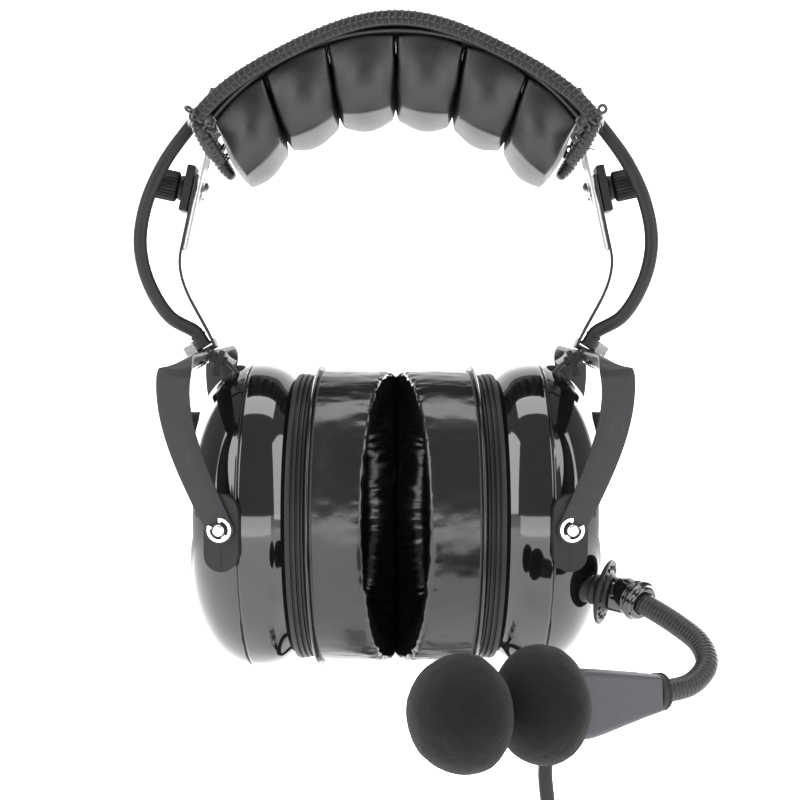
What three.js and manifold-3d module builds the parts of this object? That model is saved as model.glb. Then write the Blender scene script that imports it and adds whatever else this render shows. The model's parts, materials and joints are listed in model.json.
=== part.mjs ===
// Over-ear headset with a flexible boom microphone, millimetres, +Z up.
// The origin is where the head meets the underside of the headband cushion.
// The wearer faces -Y. Each side is drawn on +X and mirrored for the other one.
import * as THREE from 'three';
import { mergeVertices } from 'three/addons/utils/BufferGeometryUtils.js';
import Module from 'manifold-3d';

const wasm = await Module();
wasm.setup();

// Driving dimensions
const GAP = 0.35;                      // air between pieces that rest on each other
const PAD_CENTRE_Z = -53.4;            // centre of the headband's arc
const COVER_R = 89.8;                  // outer radius of the padded cover
const COVER_T = 4.6;
const COVER_HALF = 31;                 // half width, front to back
const SPRING_R = 84.2;
const SHEET_T = 1.2;                   // sheet metal of the spring and the sliders
const STRAP_HALF = 8;                  // half width of the spring and the sliders
const CUSHION_R = 82.6;                // cushion's outer radius
const CUSHION_IN_R = 68;               // cushion's inner radius, which passes the origin
const PAD_HALF_ANGLE = 52;             // degrees each side of the top
const GUIDE_TOP = new THREE.Vector2(69, -15);     // straight run in which the slider travels
const GUIDE_END = new THREE.Vector2(76, -48);
const FOOT_BEND = new THREE.Vector2(65.5, -81);   // where the slider turns into its foot
const FOOT_SLOPE = 30;                 // degrees below level
const FOOT_LENGTH = 14.5;
const BOLT_AT = 8.8;                   // swivel bolt, measured along the foot
const TOE = 7;                         // degrees each cup is turned out at the front
const CUP_Z = -143;                    // height of the cup's centre and of its tilt pins
const CUP_HALF_H = 55;                 // cup's half height
const CUP_SQUEEZE = 0.76;              // cup's depth over its height
const PLATE_X = 28;                    // inner face of the seal plate
const PLATE_T = 6.6;
const SHELL_X = PLATE_X + PLATE_T + GAP;
const SEAM_X = 51;                     // where the two shells of a cup meet
const MEETING_GAP = 0.8;               // from the middle to each seal where the two meet
const PIN_X = 55.9;
const LEG_Y = 46.2;                    // inner face of a yoke leg
const LEG_T = 1.5;
const LEG_W = 9.4;
const CABLE_R = 2.5;
const CORD_R = 2.75;
const BOOM_R = 3.9;
const GLAND_X = 57.5;                  // cord gland, under the right-hand cup
const SLEEVE_AT = 3.6;                 // cable sleeve, measured along the foot
const SLEEVE_Y = -5.2;
const SLEEVE_H = 5;
const REAR_LOBE_AT = 49;               // windscreens, measured from the end of the gooseneck
const FRONT_LOBE_AT = 77.8;
const COIL_R = 33;                     // middle of the coil's turns

// Materials
const paint = (color, roughness, metalness = 0) =>
  new THREE.MeshStandardMaterial({ color, roughness, metalness });
const leather = paint(0x1b1a1c, 0.55);
const vinyl = paint(0x101013, 0.25);
const gloss = paint(0x141416, 0.08);
const matte = paint(0x1c1c1f, 0.5);
const blackMetal = paint(0x202023, 0.42, 0.6);
const steel = paint(0xc9c9cc, 0.22, 1);
const rubber = paint(0x19191a, 0.7);
const foam = paint(0x161616, 0.97);
const greyPlastic = paint(0x56575b, 0.45);

const model = new THREE.Group();
const radians = THREE.MathUtils.degToRad;

// Solids: a closed three.js geometry becomes a manifold, and back
function solid(geometry) {
  const bare = geometry.clone();
  for (const name of ['normal', 'uv', 'uv1']) bare.deleteAttribute(name);
  const merged = mergeVertices(bare, 1e-4);
  return new wasm.Manifold(new wasm.Mesh({
    numProp: 3,
    vertProperties: new Float32Array(merged.attributes.position.array),
    triVerts: new Uint32Array(merged.index.array),
  }));
}

function geometryOf(manifold) {
  const mesh = manifold.getMesh();
  const geometry = new THREE.BufferGeometry();
  geometry.setAttribute('position', new THREE.BufferAttribute(mesh.vertProperties.slice(), 3));
  geometry.setIndex(new THREE.BufferAttribute(mesh.triVerts.slice(), 1));
  return geometry;
}

const cut = (body, ...tools) => tools.reduce((rest, tool) => rest.subtract(tool), body);
const join = (body, ...others) => others.reduce((sum, other) => sum.add(other), body);

function add(name, body, material) {
  const geometry = body instanceof THREE.BufferGeometry ? body : geometryOf(body);
  const mesh = new THREE.Mesh(geometry, material);
  mesh.name = name;
  model.add(mesh);
}

function mirrored(geometry) {
  const twin = geometry.clone().applyMatrix4(new THREE.Matrix4().makeScale(-1, 1, 1));
  const index = twin.index.array;
  for (let i = 0; i < index.length; i += 3) [index[i], index[i + 1]] = [index[i + 1], index[i]];
  return twin;
}

function addPair(name, body, material) {
  const geometry = geometryOf(body);
  add(`${name}_left`, mirrored(geometry), material);
  add(`${name}_right`, geometry, material);
}

// Shapes
function block(sx, sy, sz, x = 0, y = 0, z = 0) {
  return new THREE.BoxGeometry(sx, sy, sz).translate(x, y, z);
}

// An outline in X and Z, extruded from y0 to y1
function plate(shape, y0, y1, curveSegments = 8) {
  const geometry = new THREE.ExtrudeGeometry(shape, { depth: y1 - y0, bevelEnabled: false, curveSegments });
  return geometry.rotateX(Math.PI / 2).translate(0, y1, 0);
}

// An outline in Y (across) and Z (up), extruded from x0 to x1
function slab(shape, x0, x1, curveSegments = 10) {
  const geometry = new THREE.ExtrudeGeometry(shape, { depth: x1 - x0, bevelEnabled: false, curveSegments });
  return geometry.rotateX(Math.PI / 2).rotateZ(Math.PI / 2).translate(x0, 0, 0);
}

// A sheet of even or tapering thickness that follows points in X and Z
function stripShape(points, halfStart, halfEnd = halfStart) {
  const sides = [[], []];
  points.forEach((point, i) => {
    const before = points[Math.max(i - 1, 0)];
    const after = points[Math.min(i + 1, points.length - 1)];
    const along = after.clone().sub(before).normalize();
    const half = halfStart + (halfEnd - halfStart) * i / (points.length - 1);
    sides[0].push(new THREE.Vector2(point.x - along.y * half, point.y + along.x * half));
    sides[1].unshift(new THREE.Vector2(point.x + along.y * half, point.y - along.x * half));
  });
  return new THREE.Shape([...sides[0], ...sides[1]]);
}

function arcPoints(cz, radius, fromDegrees, toDegrees, steps) {
  const points = [];
  for (let i = 0; i <= steps; i++) {
    const turn = radians(fromDegrees + (toDegrees - fromDegrees) * i / steps);
    points.push(new THREE.Vector2(radius * Math.sin(turn), cz + radius * Math.cos(turn)));
  }
  return points;
}

// A turned piece: [radius, distance] pairs along an axis from a point
function turned(profile, from, axis, segments = 20) {
  const points = profile.map(([radius, distance]) => new THREE.Vector2(radius, distance));
  const geometry = new THREE.LatheGeometry(points, segments);
  const turn = new THREE.Quaternion().setFromUnitVectors(new THREE.Vector3(0, 1, 0), axis.clone().normalize());
  return geometry.applyQuaternion(turn).translate(from.x, from.y, from.z);
}

const rod = (radius, length, from, axis, segments = 16) =>
  turned([[0, 0], [radius, 0], [radius, length], [0, length]], from, axis, segments);

function tube(curve, radius, sides, steps) {
  const section = new THREE.Shape();
  section.absarc(0, 0, radius, 0, 2 * Math.PI);
  return new THREE.ExtrudeGeometry(section, { extrudePath: curve, steps, curveSegments: sides / 2, bevelEnabled: false });
}

function oval(halfAcross, halfUp, z = CUP_Z) {
  const shape = new THREE.Shape();
  shape.absellipse(0, z, halfAcross, halfUp, 0, 2 * Math.PI);
  return shape;
}

// The headband: spring, cover and cushion
const guide = GUIDE_END.clone().sub(GUIDE_TOP).normalize();
const outward = new THREE.Vector2(-guide.y, guide.x);

function springPath() {
  const arc = arcPoints(PAD_CENTRE_Z, SPRING_R, 0, 50, 9);
  const end = arc[arc.length - 1];
  const corner = GUIDE_TOP.clone().addScaledVector(guide, -14);
  const bend = new THREE.QuadraticBezierCurve(end, corner, GUIDE_TOP);
  const right = [...arc, ...bend.getPoints(3).slice(1), GUIDE_END.clone().addScaledVector(guide, -1)];
  const left = right.slice(1).reverse().map((point) => new THREE.Vector2(-point.x, point.y));
  return [...left, ...right];
}

// Cuts along the guide, on the given side of the headband
function guideSlot(side) {
  const geometry = block(10, 5, 27).rotateY(Math.atan2(-guide.x, -guide.y));
  const middle = GUIDE_TOP.clone().addScaledVector(guide, 18.5);
  return solid(geometry.translate(middle.x, 0, middle.y).rotateZ(side < 0 ? Math.PI : 0));
}

function ringSector(innerR, outerR, innerZ, half, y) {
  const outer = arcPoints(PAD_CENTRE_Z, outerR, -half, half, 14);
  const inner = arcPoints(innerZ, innerR, half - 1, 1 - half, 14);
  return plate(new THREE.Shape([...outer, ...inner]), -y, y);
}

function buildHeadband() {
  const spring = solid(plate(stripShape(springPath(), SHEET_T / 2), -STRAP_HALF, STRAP_HALF));
  add('headband_spring', cut(spring, guideSlot(-1), guideSlot(1)), steel);
  add('headband_cover', ringSector(COVER_R - COVER_T, COVER_R, PAD_CENTRE_Z, PAD_HALF_ANGLE + 2, COVER_HALF), leather);
  add('headband_cushion', ringSector(CUSHION_IN_R, CUSHION_R, -CUSHION_IN_R, PAD_HALF_ANGLE, COVER_HALF - 3), leather);
}

// The slider: a strap that follows the guide, then bends into a foot for the cup's yoke
const slope = radians(FOOT_SLOPE);
const footAlong = new THREE.Vector3(Math.cos(slope), 0, -Math.sin(slope));
const boltAxis = new THREE.Vector3(Math.sin(slope), 0, Math.cos(slope));
const footStart = new THREE.Vector3(FOOT_BEND.x, 0, FOOT_BEND.y);
const boltPoint = footStart.clone().addScaledVector(footAlong, BOLT_AT);
const sliderOffset = SHEET_T + 0.5;
const knobAt = GUIDE_TOP.clone().addScaledVector(guide, 10.5);
const knobAxis = new THREE.Vector3(outward.x, 0, outward.y);
const onKnobAxis = (distance) => new THREE.Vector3(knobAt.x, 0, knobAt.y).addScaledVector(knobAxis, distance);

function buildSlider() {
  const straight = [5, 14, 24, 33].map((distance) =>
    GUIDE_TOP.clone().addScaledVector(guide, distance).addScaledVector(outward, sliderOffset));
  const bow = new THREE.CubicBezierCurve(
    straight[3], straight[3].clone().addScaledVector(guide, 12),
    FOOT_BEND.clone().add(new THREE.Vector2(5.5, 12)), FOOT_BEND.clone().add(new THREE.Vector2(0.2, 0.5)));
  const footEnd = FOOT_BEND.clone().add(new THREE.Vector2(footAlong.x, footAlong.z).multiplyScalar(FOOT_LENGTH));
  const strapPath = [...straight.slice(0, 3), ...bow.getPoints(7)];
  const strap = solid(plate(stripShape(strapPath, SHEET_T / 2), -STRAP_HALF, STRAP_HALF));
  const foot = solid(plate(stripShape([FOOT_BEND.clone().add(new THREE.Vector2(-0.3, 0.2)), footEnd], 0.75), -STRAP_HALF, STRAP_HALF));
  const curl = solid(plate(stripShape([footEnd, footEnd.clone().add(new THREE.Vector2(0.3, -3.2))], 0.6), -STRAP_HALF, STRAP_HALF));
  const studHole = solid(rod(2.3, 20, onKnobAxis(-10), knobAxis));
  const boltHole = solid(rod(2.5, 10, boltPoint.clone().addScaledVector(boltAxis, -5), boltAxis));
  addPair('slider_strap', cut(join(strap, foot, curl), studHole, boltHole), blackMetal);

  const blockBase = sliderOffset + SHEET_T / 2 + GAP;
  const clamp = block(3.2, 15, 17).rotateY(Math.atan2(-guide.x, -guide.y));
  const clampCentre = onKnobAxis(blockBase + 1.6);
  addPair('clamp_block', cut(solid(clamp.translate(clampCentre.x, 0, clampCentre.z)), studHole), matte);

  // The bolt's head is above the foot, and its collar below holds the yoke
  const bolt = turned([[0, -4.2], [3.6, -4.2], [3.6, -3.15], [2.1, -3.15], [2.1, 1.1], [3.9, 1.1], [3.9, 5.2], [0, 5.2]],
    boltPoint, boltAxis, 12);
  addPair('swivel_bolt', solid(bolt), steel);
  const sleeveAt = footStart.clone().addScaledVector(footAlong, SLEEVE_AT).addScaledVector(boltAxis, 0.75 + GAP);
  sleeveAt.y = SLEEVE_Y;
  addPair('cable_sleeve', solid(turned([[0, 0], [2.8, 0], [2.6, SLEEVE_H], [0, SLEEVE_H]], sleeveAt, boltAxis, 12)), rubber);
}

function buildThumbKnob() {
  const base = sliderOffset + SHEET_T / 2 + GAP + 3.2 + GAP;
  const knob = solid(turned([[0, base], [4.4, base], [4.4, base + 1.6], [5.6, base + 2], [5.6, base + 9.6], [4.8, base + 10.4],
    [0, base + 10.4]], onKnobAxis(0), knobAxis, 16));
  const stud = solid(turned([[0, -3], [3.8, -3], [3.8, -1.1], [1.9, -1.1], [1.9, base + 1], [0, base + 1]], onKnobAxis(0), knobAxis, 12));
  addPair('thumb_knob', join(knob, stud), matte);
}

// The audio cable that arches over each slider, from the cover's end to the foot
function buildArchCable() {
  const sleeveTop = footStart.clone().addScaledVector(footAlong, SLEEVE_AT)
    .addScaledVector(boltAxis, 0.75 + GAP + SLEEVE_H + GAP);
  sleeveTop.y = SLEEVE_Y;
  const points = [[66.5, -9, 6.5], [74.2, -10, -3], [83.2, -10.5, -15.6], [89.6, -11, -30], [91.9, -11, -44.7],
    [89, -10.5, -58.5], [81.4, -8.2, -71]].map(([x, y, z]) => new THREE.Vector3(x, y, z));
  const curve = new THREE.CatmullRomCurve3([...points, sleeveTop], false, 'centripetal');
  const sleeveTrim = solid(rod(8, 6, sleeveTop, boltAxis.clone().negate(), 12));
  addPair('arch_cable', cut(solid(tube(curve, CABLE_R, 8, 18)), coverEndTrim(), sleeveTrim), rubber);
}

// Keeps the cable's upper end just outside the cover
function coverEndTrim() {
  return solid(ringSector(CUSHION_IN_R, COVER_R + 2.5, -CUSHION_IN_R, PAD_HALF_ANGLE + 4, COVER_HALF));
}

// Everything below swivels on the bolt, and is drawn straight, then toed out
const toe = new THREE.Matrix4().makeTranslation(boltPoint)
  .multiply(new THREE.Matrix4().makeRotationAxis(boltAxis, radians(TOE)))
  .multiply(new THREE.Matrix4().makeTranslation(boltPoint.clone().negate()));
const toed = (manifold) => solid(geometryOf(manifold).applyMatrix4(toe));

function legShape() {
  const line = new THREE.CubicBezierCurve(new THREE.Vector2(71.2, -86.6), new THREE.Vector2(74.6, -104),
    new THREE.Vector2(66, -122), new THREE.Vector2(PIN_X, CUP_Z));
  return stripShape(line.getPoints(10), 6.1, LEG_W / 2);
}

function buildYoke() {
  const drop = -0.75 - GAP - LEG_T / 2;
  const along = (distance, lift) => {
    const point = boltPoint.clone().addScaledVector(footAlong, distance).addScaledVector(boltAxis, drop + lift);
    return new THREE.Vector2(point.x, point.z);
  };
  const bridge = solid(plate(stripShape([along(-7.4, 0), along(4.2, 0)], LEG_T / 2), -LEG_Y - LEG_T, LEG_Y + LEG_T));
  // The tab runs inwards and down from the bridge, over the cup
  const tabEnd = along(-7, 0).add(new THREE.Vector2(-6.6, -4.2));
  const tab = solid(plate(stripShape([along(-6.6, 0), along(-8.6, -0.6), tabEnd], LEG_T / 2), -9, 9));
  const boltHole = solid(rod(2.5, 10, boltPoint.clone().addScaledVector(boltAxis, -6), boltAxis));
  const below = plate(legShape(), LEG_Y, LEG_Y + LEG_T);
  const legs = [below, below.clone().translate(0, -2 * LEG_Y - LEG_T, 0)].map(solid);
  const eyes = solid(rod(LEG_W / 2 + 0.3, LEG_T, new THREE.Vector3(PIN_X, LEG_Y, CUP_Z), new THREE.Vector3(0, 1, 0), 14));
  const eyeFront = solid(rod(LEG_W / 2 + 0.3, LEG_T, new THREE.Vector3(PIN_X, -LEG_Y - LEG_T, CUP_Z), new THREE.Vector3(0, 1, 0), 14));
  const pinHole = solid(rod(3, 120, new THREE.Vector3(PIN_X, -60, CUP_Z), new THREE.Vector3(0, 1, 0), 12));
  // The legs stop at the bridge's upper face
  const above = solid(plate(stripShape([along(-30, 10.75), along(30, 10.75)], 10), -60, 60));
  const legSet = cut(join(legs[0], legs[1], eyes, eyeFront), above);
  addPair('yoke', toed(cut(join(bridge, tab, legSet), boltHole, pinHole)), blackMetal);

  const clip = block(6.6, 3.2, 4.4).rotateY(-0.56).translate(tabEnd.x + 2.6, -9 - GAP - 1.6, tabEnd.y + 1.7);
  addPair('cable_clip', toed(solid(clip)), rubber);
}

// The cup: plate, two shells, bosses, clips, driver, damping block and soft seal
const cupAxis = new THREE.Vector3(1, 0, 0);
const cupCentre = (x) => new THREE.Vector3(x, 0, CUP_Z);
const squeeze = (geometry) => geometry.scale(1, CUP_SQUEEZE, 1);

function cupTurned(profile, segments = 24) {
  const shape = profile.map(([radius, x]) => [radius, x]);
  const geometry = turned(shape, new THREE.Vector3(0, 0, 0), cupAxis, segments);
  return solid(squeeze(geometry).translate(0, 0, CUP_Z));
}

const shellCurve = new THREE.SplineCurve([[49.5, SHELL_X], [53.2, 40], [CUP_HALF_H, 47], [CUP_HALF_H - 0.4, 54],
  [50.5, 62], [40.5, 69.3], [24, 72.6], [0.01, 73.6]].map(([radius, x]) => new THREE.Vector2(radius, x)));
const shellProfile = shellCurve.getPoints(11).map((point) => [Math.max(point.x, 0), point.y]);
const cupEnvelope = (grow) => cupTurned([[0, SHELL_X - grow], ...shellProfile.map(([radius, x]) => [
  radius > 0.1 ? radius + grow : 0, x + (radius < 30 ? grow : 0)])]);

function buildShells() {
  const outside = cupEnvelope(0);
  const wall = 2.4;
  const inside = cupTurned([[0, SHELL_X - 5], [47, SHELL_X - 5], [47, SHELL_X], ...shellProfile.slice(1, -1).map(([radius, x]) =>
    [Math.max(radius - wall, 0), x - (radius < 45 ? wall * 0.8 : 0)]), [0, 73.6 - wall]]);
  const shell = outside.subtract(inside);
  const low = solid(block(60, 200, 200, SEAM_X - 30, 0, CUP_Z));
  const high = solid(block(60, 200, 200, SEAM_X + 30 + GAP, 0, CUP_Z));
  return { inner: shell.intersect(low), outer: shell.intersect(high) };
}

function slotShape(halfWidth, halfLength, x, z) {
  const shape = new THREE.Shape();
  const straight = halfLength - halfWidth;
  shape.absarc(x, z + straight, halfWidth, 0, Math.PI);
  shape.absarc(x, z - straight, halfWidth, Math.PI, 2 * Math.PI);
  return shape;
}

function buildCup() {
  const { inner, outer } = buildShells();
  const knobHole = solid(rod(4.4, 20, cupCentre(62).add(new THREE.Vector3(0, 10, 30)), cupAxis));
  addPair('cup_inner_shell', toed(inner), gloss);
  const glandHole = solid(rod(4.6, 30, new THREE.Vector3(GLAND_X, 0, -205), new THREE.Vector3(0, 0, 1)));
  const outerShell = cut(outer, knobHole);
  add('cup_outer_shell_left', mirrored(geometryOf(toed(outerShell))), gloss);
  add('cup_outer_shell_right', toed(cut(outerShell, glandHole)), gloss);

  const plateRing = solid(slab(oval(39.4, 51.5), PLATE_X, PLATE_X + PLATE_T, 14));
  const driverHole = solid(rod(21, 20, cupCentre(PLATE_X - 5), cupAxis, 24));
  addPair('seal_plate', toed(cut(plateRing, driverHole)), matte);
  const driver = turned([[0, 0], [20.5, 0], [20.5, 3], [15, 6], [9, 12], [0, 12]], cupCentre(PLATE_X + 1.5), cupAxis, 24);
  addPair('speaker_driver', toed(solid(driver)), matte);
  addPair('damping_block', toed(cupTurned([[0, 56], [42, 56], [36, 63], [0, 63]], 16)), foam);

  // A boss with a grooved pin on the front and back of the cup, and a retaining ring on each pin
  const envelope = cupEnvelope(GAP);
  for (const [end, side] of [['front', -1], ['rear', 1]]) {
    const outwards = new THREE.Vector3(0, side, 0);
    const y = [36 * side, 45.7 * side].sort((a, b) => a - b);
    const pad = solid(plate(slotShape(6, 13.5, PIN_X, CUP_Z - 1.5), y[0], y[1], 6));
    const pin = turned([[0, 0], [2.6, 0], [2.6, 5.4], [1.9, 5.4], [1.9, 6.6], [2.6, 6.6], [2.6, 7.6], [0, 7.6]],
      new THREE.Vector3(PIN_X, 42.7 * side, CUP_Z), outwards, 12);
    addPair(`pin_boss_${end}`, toed(join(cut(pad, envelope), solid(pin))), matte);
    const ring = rod(4.3, 0.7, new THREE.Vector3(PIN_X, 48.35 * side, CUP_Z), outwards, 20);
    const bore = rod(2.25, 4, new THREE.Vector3(PIN_X, 47 * side, CUP_Z), outwards, 14);
    const mouth = block(6, 4, 3, PIN_X + 4, 48.5 * side, CUP_Z - 1.2);
    addPair(`retaining_ring_${end}`, toed(cut(solid(ring), solid(bore), solid(mouth))), steel);
  }

  const knobPoint = cupCentre(64).add(new THREE.Vector3(0, 10, 30));
  const volume = turned([[0, 0], [3.4, 0], [3.4, 8.4], [7, 8.8], [7, 16], [6.2, 17], [0, 17]], knobPoint, cupAxis, 24);
  addPair('volume_knob', toed(solid(volume)), matte);
  buildSeal();
}

// The seal is thicker at the back, and flattens where the two seals meet
function buildSeal() {
  const ring = oval(40, 53);
  ring.holes.push(oval(21, 33));
  const raw = solid(slab(ring, -12, PLATE_X - 0.4, 14));
  const slant = block(60, 200, 200, -30, 0, 0).rotateZ(radians(8.4)).translate(1.9, 0, CUP_Z);
  const meeting = solid(block(60, 200, 300, -30 + MEETING_GAP, 0, CUP_Z));
  addPair('ear_seal', cut(toed(cut(raw, solid(slant))), meeting), vinyl);
}

// The boom on the right-hand cup: pivot disc, elbow, two runs of gooseneck, microphone and windscreens
const boomBase = new THREE.Vector3(64.5, -25, -166.5);
const boomAxis = new THREE.Vector3(0.93, -0.3, -0.21).normalize();
const boomPath = [[86.5, -39, -172], [96.5, -50, -178], [103.5, -60.5, -184], [104.6, -68, -190], [98.6, -75.5, -195.6],
  [89.5, -81.5, -197.3]].map(([x, y, z]) => new THREE.Vector3(x, y, z));
const micStart = boomPath[5];
const micAxis = new THREE.Vector3(-0.87, -0.49, -0.035).normalize();
const onMic = (distance) => micStart.clone().addScaledVector(micAxis, distance);

// Presses in the half of a shape that lies on the -X side
function flatBacked(geometry, share) {
  const points = geometry.attributes.position;
  for (let i = 0; i < points.count; i++) {
    if (points.getX(i) < 0) points.setX(i, points.getX(i) * share);
  }
  return geometry;
}

function buildBoom() {
  const onAxis = (distance) => boomBase.clone().addScaledVector(boomAxis, distance);
  const disc = turned([[0, 0], [8.5, 0], [11.6, 1.6], [11.6, 2.8], [7, 4.2], [0, 4.2]], onAxis(8), boomAxis, 24);
  add('boom_disc', disc, matte);
  const stem = solid(turned([[0, -6], [6.2, -6], [4.6, 7.65], [0, 7.65]], boomBase, boomAxis, 16));
  add('boom_stem', cut(stem, toed(cupEnvelope(GAP))), matte);
  const elbowStart = onAxis(12.55);
  const toNeck = boomPath[1].clone().sub(boomPath[0]).normalize();
  const hub = solid(rod(6.3, 8, elbowStart, boomAxis, 16));
  const socketStart = boomPath[0].clone().addScaledVector(toNeck, -9.5);
  const socket = solid(turned([[0, 0], [5.6, 0], [6, 5.4], [7.2, 5.8], [7.2, 7.2], [6.2, 7.6], [6.2, 9.1], [0, 9.1]],
    socketStart, toNeck, 16));
  const flat = solid(rod(30, 20, elbowStart, boomAxis.clone().negate(), 4));
  add('boom_elbow', cut(join(hub, socket), flat), matte);

  const curve = new THREE.CatmullRomCurve3(boomPath, false, 'centripetal');
  const part = (from, to, steps) => {
    const points = [];
    for (let i = 0; i <= steps; i++) points.push(curve.getPointAt(from + (to - from) * i / steps));
    return tube(new THREE.CatmullRomCurve3(points), BOOM_R, 12, steps);
  };
  add('gooseneck_lower', part(0, 0.475, 8), blackMetal);
  add('gooseneck_upper', part(0.525, 0.985, 8), blackMetal);

  add('mic_collar', turned([[0, 0], [5.2, 0], [6.4, 1.2], [6.4, 4.6], [0, 4.6]], onMic(0.4), micAxis, 16), rubber);
  // A flat housing that widens towards the microphone
  const taper = new THREE.Shape([[0, -6], [27, -12], [31, -12], [31, 10], [27, 10], [0, 6]].map(([a, b]) => new THREE.Vector2(a, b)));
  const body = new THREE.ExtrudeGeometry(taper, { depth: 9, bevelEnabled: true, bevelThickness: 1.5, bevelSize: 1.2,
    bevelOffset: -1.2, bevelSegments: 1 }).translate(0, 0, -4.5);
  const across = new THREE.Vector3().crossVectors(micAxis, new THREE.Vector3(0, 0, 1)).normalize();
  const up = new THREE.Vector3().crossVectors(across, micAxis);
  const aim = new THREE.Matrix4().makeBasis(micAxis, up, across).setPosition(onMic(5.4));
  const housing = solid(body.applyMatrix4(aim));
  const rear = new THREE.SphereGeometry(1, 14, 9).scale(14.2, 19.4, 19.4).applyMatrix4(aim.clone().setPosition(onMic(REAR_LOBE_AT)));
  const front = flatBacked(new THREE.SphereGeometry(1, 16, 10), 14 / 18).scale(18, 19.2, 19.2)
    .applyMatrix4(aim.clone().setPosition(onMic(FRONT_LOBE_AT)));
  const nosePocket = solid(block(30, 24.4, 12.8, -15, -1, 0).applyMatrix4(aim.clone().setPosition(onMic(38.3))));
  const capsuleBore = solid(rod(5.4, 10, onMic(36), micAxis, 14));
  add('mic_housing', housing, greyPlastic);
  add('mic_capsule', rod(5, 6.6, onMic(38.4), micAxis, 14), steel);
  add('windscreen_rear', cut(solid(rear), nosePocket, capsuleBore), foam);
  add('windscreen_front', front, foam);
}

// The cord: gland, the run down to the surface, the coil and the connector
function buildCord() {
  const exit = new THREE.Vector3(GLAND_X, 0, CUP_Z - CUP_HALF_H).applyMatrix4(toe);
  const down = new THREE.Vector3(0, 0, -1);
  const gland = turned([[0, -6], [4.1, -6], [4.1, 1], [5.4, 1.2], [5.4, 3.4], [3.9, 4], [3.3, 16], [0, 16]], exit, down, 16);
  add('cord_gland', gland, rubber);
  const top = exit.z - 16 - GAP;
  const points = [[exit.x, exit.y, top], [exit.x, exit.y, top - 10], [54.6, 4, -235], [55.6, 3.5, -250], [56, 5.5, -263],
    [56, 11.5, -274], [56, 20, -281], [56, 26, -282.25]].map(([x, y, z]) => new THREE.Vector3(x, y, z));
  add('cord_tube', tube(new THREE.CatmullRomCurve3(points, false, 'centripetal'), CORD_R, 8, 16), rubber);
  const centre = new THREE.Vector3(56 - COIL_R - CORD_R, 48, -285);
  const high = 6 * CORD_R;
  const inR = COIL_R - 2 * CORD_R;
  const outR = COIL_R + 2 * CORD_R;
  const soft = 2;
  const ring = turned([[inR + soft, 0], [outR - soft, 0], [outR, soft], [outR, high - soft], [outR - soft, high], [inR + soft, high],
    [inR, high - soft], [inR, soft], [inR + soft, 0]], centre, new THREE.Vector3(0, 0, 1), 24);
  add('cord_coil', ring, rubber);
  const plugR = 9.5;
  const plugAt = new THREE.Vector3(centre.x - COIL_R - CORD_R, centre.y - 25, -285 + plugR);
  const plugAxis = new THREE.Vector3(0, -1, 0);
  add('plug_boot', turned([[0, 0], [3.6, 0], [5.4, 14], [7.6, 15], [7.6, 18], [0, 18]], plugAt, plugAxis, 16), rubber);
  add('plug_shell', turned([[0, 18.4], [plugR - 1, 18.4], [plugR, 20], [plugR, 58], [plugR - 1.2, 58], [plugR - 1.2, 50], [0, 50]],
    plugAt, plugAxis, 20), steel);
}

buildHeadband();
buildSlider();
buildThumbKnob();
buildArchCable();
buildYoke();
buildCup();
buildBoom();
buildCord();

export default model;
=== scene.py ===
"""Looks for an over-ear headset with a boom microphone.

Geometry is worked out in millimetres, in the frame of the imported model, and each
finished piece is scaled to metres. The right-hand side (+X) is drawn, and mirrored
for the left. The wearer faces -Y.
"""

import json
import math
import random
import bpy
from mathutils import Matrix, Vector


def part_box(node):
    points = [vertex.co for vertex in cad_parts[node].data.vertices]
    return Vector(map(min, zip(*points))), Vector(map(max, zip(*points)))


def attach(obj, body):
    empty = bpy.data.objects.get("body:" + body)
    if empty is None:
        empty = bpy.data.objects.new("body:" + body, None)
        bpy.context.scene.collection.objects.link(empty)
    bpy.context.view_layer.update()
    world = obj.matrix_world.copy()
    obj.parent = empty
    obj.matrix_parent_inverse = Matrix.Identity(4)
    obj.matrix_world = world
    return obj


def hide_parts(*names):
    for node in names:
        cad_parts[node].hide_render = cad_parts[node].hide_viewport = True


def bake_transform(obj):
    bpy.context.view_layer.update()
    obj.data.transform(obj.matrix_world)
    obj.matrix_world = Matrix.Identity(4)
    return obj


bl_info = {
    "name": "Boom Microphone Headset",
    "version": (1, 0, 0),
    "blender": (4, 5, 0),
    "location": "View3D > Sidebar > Headset",
    "description": "Builds the finished pieces of a boom microphone headset around its frame",
    "category": "Add Mesh",
}

import bmesh
import bpy
from bpy.props import FloatProperty, FloatVectorProperty, IntProperty, PointerProperty
from mathutils import Matrix, Vector, noise

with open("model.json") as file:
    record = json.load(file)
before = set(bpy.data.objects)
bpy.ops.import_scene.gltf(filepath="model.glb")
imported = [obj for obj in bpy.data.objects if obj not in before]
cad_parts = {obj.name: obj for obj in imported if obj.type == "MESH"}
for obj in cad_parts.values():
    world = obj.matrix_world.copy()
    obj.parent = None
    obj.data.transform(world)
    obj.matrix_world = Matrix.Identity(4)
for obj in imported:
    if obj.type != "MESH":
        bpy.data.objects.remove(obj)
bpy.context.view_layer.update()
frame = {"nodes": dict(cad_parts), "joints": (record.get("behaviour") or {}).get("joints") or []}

MM = 0.001
SIDES = ("right", "left")
JOINTS = {joint["name"]: joint for joint in frame["joints"]}


# Places, taken from the frame's joints and boxes

def joint_origin(name):
    return Vector(JOINTS[name]["pos_m"]) / MM


def joint_axis(name):
    return Vector(JOINTS[name]["axis"]).normalized()


def middle(node):
    low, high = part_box(node)
    return (low + high) / (2 * MM)


def placed(origin, x, y, z):
    """A place at origin with the given axes."""
    return Matrix.Translation(origin) @ Matrix((x, y, z)).transposed().to_4x4()


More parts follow.
